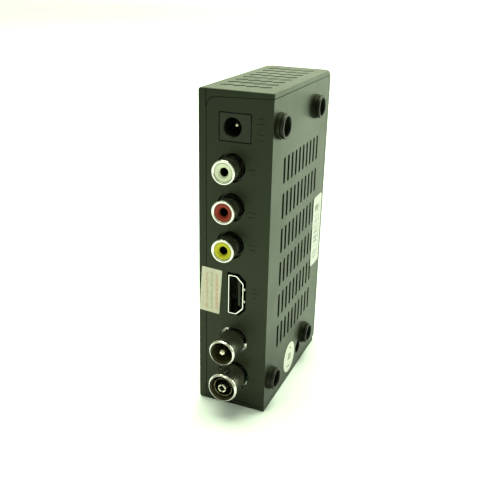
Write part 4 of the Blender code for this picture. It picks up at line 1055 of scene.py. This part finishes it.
def build_aerial_insert(way, finish):
    """The moulded disc that holds a connector's middle contact, with a hub round it."""
    bore, hub, hub_top, rise = RF_INSERTS[way]
    seat = seat_on(f"rf_{way}_shell", Y, REAR_Y)
    rim, face, foot = rear_socket(f"rf_{way}_insert")[1:]
    profile = [(bore, foot), (rim, foot), (rim, face - 0.2 * MM), (rim - 0.2 * MM, face), (hub, face),
               (hub_top, face + rise), (bore, face + rise)]
    insert = lathe(f"aerial_{way}_insert", profile, seat, "rear", hollow=True)
    wear(smooth(insert), finish, [f"rf_{way}_insert"])


def build_aerial_pin(finish):
    seat, radius, tip, foot = rear_socket("rf_out_pin")
    pin = domed_pin("aerial_out_pin", radius, foot, tip, seat, 40, 7)
    wear(smooth(pin, 60.0), finish, ["rf_out_pin"])


def build_aerial_tube(finish):
    """The inlet's middle contact: a split tube with a rolled lip."""
    seat, radius, tip, foot = rear_socket("rf_in_socket")
    profile = [(RF_SOCKET_BORE, foot), (radius, foot)]
    profile += inset(radius, tip, [(0.0, 0.5), (0.12, 0.15), (0.3, 0.0)])
    profile += inset(RF_SOCKET_BORE, tip, [(0.15, 0.03), (0.25, 0.2), (0.0, 0.9)])
    tube = lathe("aerial_in_socket", profile, seat, "rear", 40, hollow=True)
    soften(split_tip(tube, "rf_in_socket", *RF_SOCKET_SLIT), 0.05 * MM)
    wear(smooth(tube), finish, ["rf_in_socket"])


# Front

def build_window(finish, digit_finish):
    low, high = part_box("display_window")
    piece = block("window", low, high)
    bevel(piece, running(Y), 0.5 * MM, 4)
    bevel(piece, at(Y, high.y), 0.12 * MM, 2)
    wear(smooth(piece), finish, ["display_window"])
    build_digits(digit_finish, high.y)


def build_digits(finish, face):
    """Unlit digits, each of seven bars, just under the window's face."""
    width, height = DIGIT_SIZE
    bar = DIGIT_BAR
    bars = []

    def add_bar(low_x, high_x, low_z, high_z):
        bars.append(block("segment", (low_x, face - 0.05 * MM, low_z), (high_x, face + 0.008 * MM, high_z)))

    for digit in range(DIGIT_COUNT):
        middle = middle_of("display_module").z + (digit - (DIGIT_COUNT - 1) / 2) * DIGIT_PITCH
        for row in (-1, 0, 1):
            line = -row * height / 2
            add_bar(line - bar / 2, line + bar / 2, middle - width / 2 + bar, middle + width / 2 - bar)
        for edge in (middle - width / 2, middle + width / 2):
            add_bar(-height / 2 + bar, -bar, edge - bar / 2, edge + bar / 2)
            add_bar(bar, height / 2 - bar, edge - bar / 2, edge + bar / 2)
    wear(gather("display_segments", bars), finish, [])


def build_buttons(finish):
    """Round caps with a hidden flange and a slightly dished top, each on its own body."""
    for name in BUTTONS:
        low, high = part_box(f"{name}_button")
        back, tip = low.y - FRONT_Y, high.y - FRONT_Y
        flange = back + FLANGE_THICKNESS
        profile = [(FLANGE_RADIUS, back), (FLANGE_RADIUS, flange), (BUTTON_RADIUS, flange)]
        profile += inset(BUTTON_RADIUS, tip, BUTTON_DISH)
        piece = lathe(f"{name}_cap", profile, seat_on(f"{name}_button", Y, FRONT_Y), "front")
        wear(smooth(piece, 50.0), finish, [f"{name}_button"], f"{name}_key")


def build_usb(shell_finish, tongue_finish, contact_finish):
    """Folded sleeve with two spring holes in one side."""
    low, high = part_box("usb_shell")
    piece = block("usb_sleeve", low, high)
    bevel(piece, running(Y), 0.6 * MM, 4)
    wall = Vector((USB_WALL, -PAST, USB_WALL))
    inside = block("inside", low + wall, high - wall)
    cut(piece, bevel(inside, running(Y), 0.3 * MM))
    for place in (-USB_SPRING_PLACE, USB_SPRING_PLACE):
        middle = (low.z + high.z) / 2 + place
        cut(piece, block("spring_hole", (low.x - PAST, high.y - 6.5 * MM, middle - USB_SPRING_HALF),
                         (low.x + PAST, high.y - 2.0 * MM, middle + USB_SPRING_HALF)))
    soften(piece, 0.07 * MM)
    wear(smooth(piece), shell_finish, ["usb_shell"])
    build_usb_core(tongue_finish, contact_finish)


def build_usb_core(tongue_finish, contact_finish):
    """The moulded base, the blade that stands out of it, and four contacts on the blade."""
    low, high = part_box("usb_tongue")
    base = block("usb_core", low, (high.x, low.y + USB_CORE_DEPTH, high.z))
    face, back = high.x - USB_BLADE[0], high.x - USB_BLADE[1]
    blade = block("usb_blade", (face, low.y + PAST, low.z + 0.7 * MM), (back, high.y, high.z - 0.7 * MM))
    join(base, bevel(blade, at(Y, high.y), 0.3 * MM))
    soften(base, 0.06 * MM)
    wear(smooth(base), tongue_finish, ["usb_tongue"])
    strip = block("usb_contacts", (face - 0.04 * MM, high.y - 7.5 * MM, low.z + 1.9 * MM),
                  (face + 0.04 * MM, high.y - 0.6 * MM, low.z + 2.9 * MM))
    repeat(strip, (USB_CONTACT_COUNT, (0.0, 0.0, USB_CONTACT_PITCH)))
    wear(smooth(strip), contact_finish, [])


# Stickers

def build_seal(finish):
    """The seal across the seam, stuck on a little crooked."""
    width, height = SEAL_SIZE
    half = Vector((width / 2, 0.05 * MM, height / 2))
    piece = block("seal", -half, half)
    turned(piece, (0.0, SEAL_TURN, 0.0), seat_on("seal_sticker", Y, REAR_Y - 0.06 * MM))
    soften(piece, 0.03 * MM, 1)
    wear(smooth(piece), finish, ["seal_sticker"])


def build_label(finish):
    low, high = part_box("barcode_label")
    piece = block("label", (UNDER_X + STICKER_LIFT, low.y, low.z), (UNDER_X + 0.12 * MM, high.y, high.z))
    bevel(piece, running(X, NEAR), LABEL_CORNER, 8)
    wear(smooth(piece), finish, ["barcode_label"])


def build_inspection(finish, ink_finish):
    """A round sticker with a stamp of plain bars."""
    low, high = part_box("inspection_sticker")
    radius = (high.y - low.y) / 2
    top = 0.13 * MM
    seat = seat_on("inspection_sticker", X, UNDER_X)
    profile = [(radius, STICKER_LIFT), (radius, 0.11 * MM), (radius - 0.04 * MM, top)]
    piece = lathe("inspection_disc", profile, seat, "under", 80)
    wear(smooth(piece), finish, ["inspection_sticker"])
    marks = []
    for along, aside, thick, long_side in STAMP:
        mark = block("stamp", (0.0, (aside - long_side / 2) * MM, (along - thick / 2) * MM),
                     (0.015 * MM, (aside + long_side / 2) * MM, (along + thick / 2) * MM))
        marks.append(turned(mark, (INK_TURN, 0.0, 0.0), (UNDER_X + top, seat.y, seat.z)))
    wear(gather("inspection_stamp", marks), ink_finish, [])


# Inside

def dress_inside(finishes):
    """Give the frame's own inner pieces their finishes."""
    for finish, nodes in finishes:
        for node in nodes:
            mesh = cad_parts[node].data
            mesh.materials.clear()
            mesh.materials.append(finish)


# Studio

def build_floor():
    alone()
    bpy.ops.mesh.primitive_plane_add(size=6.0, location=(0.0, 0.0, -NEAR))
    floor = added("floor")
    paper = Finish("floor_paper", (0.86, 0.87, 0.84), 0.7)
    paper.colour(paper.mottled(paper.noise(4.0), (0.80, 0.83, 0.90), (0.83, 0.86, 0.93)))
    floor.data.materials.append(paper.material)


def build_backdrop():
    """A lit white wall beyond the box, which ends the floor in the camera's view."""
    alone()
    bpy.ops.mesh.primitive_plane_add(size=6.0, location=(0.0, 2.4, 1.5), rotation=(math.pi / 2, 0.0, 0.0))
    wall = added("backdrop")
    wall.scale = (1.5, 0.5, 1.0)
    settle(wall)
    paper = Finish("backdrop_paper", (0.8, 0.8, 0.8), 0.8)
    paper.set(paper.shader, **{"Emission Color": (*LIGHT_TINT, 1.0), "Emission Strength": BACKDROP_STRENGTH})
    wall.data.materials.append(paper.material)


def area_light(name, place, aim, side, radiance):
    light = bpy.data.lights.new(name, "AREA")
    light.shape = "RECTANGLE"
    light.size = light.size_y = side
    light.energy = radiance * math.pi * side * side
    light.color = LIGHT_TINT
    lamp = bpy.data.objects.new(name, light)
    lamp.location = place
    lamp.rotation_euler = (Vector(aim) - Vector(place)).to_track_quat("-Z", "Y").to_euler()
    bpy.context.scene.collection.objects.link(lamp)


def light_studio():
    world = bpy.data.worlds.new("studio")
    world.use_nodes = True
    background = world.node_tree.nodes["Background"]
    background.inputs["Color"].default_value = (*LIGHT_TINT, 1.0)
    background.inputs["Strength"].default_value = WORLD_STRENGTH
    bpy.context.scene.world = world
    for name, settings in LAMPS.items():
        area_light(name, *settings)
    bpy.context.scene.view_settings.view_transform = "Standard"


def place_camera():
    """A camera a little above and to the underside's side of the rear panel, tipped by a degree or so."""
    right = Vector((math.cos(CAMERA_AZIMUTH), math.sin(CAMERA_AZIMUTH), 0.0))
    level = Vector((right.y, -right.x, 0.0)) * math.cos(CAMERA_ELEVATION)
    back = level + Vector((0.0, 0.0, math.sin(CAMERA_ELEVATION)))
    above = back.cross(right)
    tipped_right = math.cos(CAMERA_ROLL) * right + math.sin(CAMERA_ROLL) * above
    tipped_above = math.cos(CAMERA_ROLL) * above - math.sin(CAMERA_ROLL) * right
    camera = bpy.data.cameras.new("camera")
    camera.lens = CAMERA_LENS
    camera.sensor_width = 36.0
    camera.clip_start = 0.01
    holder = bpy.data.objects.new("camera", camera)
    holder.rotation_mode = "QUATERNION"
    holder.rotation_quaternion = Matrix((tipped_right, tipped_above, back)).transposed().to_quaternion()
    holder.location = CAMERA_AIM + CAMERA_DISTANCE * back
    bpy.context.scene.collection.objects.link(holder)
    bpy.context.scene.camera = holder


def build():
    case_black = textured_plastic()
    socket_black = moulded_plastic("socket_plastic", (0.007, 0.008, 0.005), 0.35, 1.40, (0.88, 0.96, 0.78))
    button_black = moulded_plastic("button_plastic", (0.02, 0.02, 0.019), 0.22)
    nickel = polished_metal("nickel_plate", (0.82, 0.78, 0.76), 0.2)
    # Painted shade: real plated contact metal, darkened so the phono contacts, HDMI contacts and aerial
    # petals look shaded deep inside their sockets
    shade_dark_metal = polished_metal("shade_darkened_contact", (0.12, 0.11, 0.07), 0.4)
    contact = plated_metal("contact_metal", (0.80, 0.76, 0.62), 0.24)
    tin = plated_metal("tinned_sheet", (0.62, 0.62, 0.56), 0.34)
    steel = plated_metal("screw_steel", (0.20, 0.20, 0.19), 0.35)
    brown = moulded_plastic("aerial_insulator", (0.055, 0.045, 0.020), 0.5, 1.38)
    inserts = {
        "white": moulded_plastic("insert_white", (0.56, 0.56, 0.45), 0.35),
        "red": moulded_plastic("insert_red", (0.22, 0.016, 0.005), 0.45, 1.34),
        "yellow": moulded_plastic("insert_yellow", (0.46, 0.42, 0.008), 0.45, 1.34),
    }
    chip = moulded_plastic("chip_epoxy", (0.012, 0.012, 0.012), 0.55)

    build_cover(case_black)
    build_shell(case_black)
    build_front(case_black)
    build_marks(case_black)
    build_feet(rubber())
    build_screw(steel)
    build_power_socket(socket_black, contact)
    for colour in RCA_COLOURS:
        build_phono(colour, nickel, inserts[colour], shade_dark_metal)
    build_hdmi(nickel, socket_black, shade_dark_metal)
    build_aerials(nickel, brown, contact, shade_dark_metal)
    build_window(smoked_window(), unlit_segments())
    build_buttons(button_black)
    build_usb(tin, socket_black, contact)
    build_seal(seal_paper(*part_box("seal_sticker")))
    build_label(barcode_paper(*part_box("barcode_label")))
    build_inspection(plain_paper(), stamp_ink())
    dress_inside([
        (board_laminate(), ["main_board"]),
        (chip, ["processor", "memory_chip", "flash_chip", "power_coil", "infrared_receiver"]),
        (plated_metal("heatsink_aluminium", (0.6, 0.6, 0.58), 0.35), ["heatsink"]),
        (moulded_plastic("capacitor_sleeve", (0.015, 0.02, 0.05), 0.3),
         ["capacitor_rear", "capacitor_middle", "capacitor_front"]),
        (tin, ["tuner_can", "crystal"]),
        (steel, ["board_screw_low", "board_screw_high"]),
        (socket_black, ["rca_housing", "display_module"] + [f"{name}_switch" for name in BUTTONS]),
        (button_black, [f"{name}_switch_plunger" for name in BUTTONS]),
    ])
    build_floor()
    build_backdrop()
    light_studio()
    place_camera()


build()
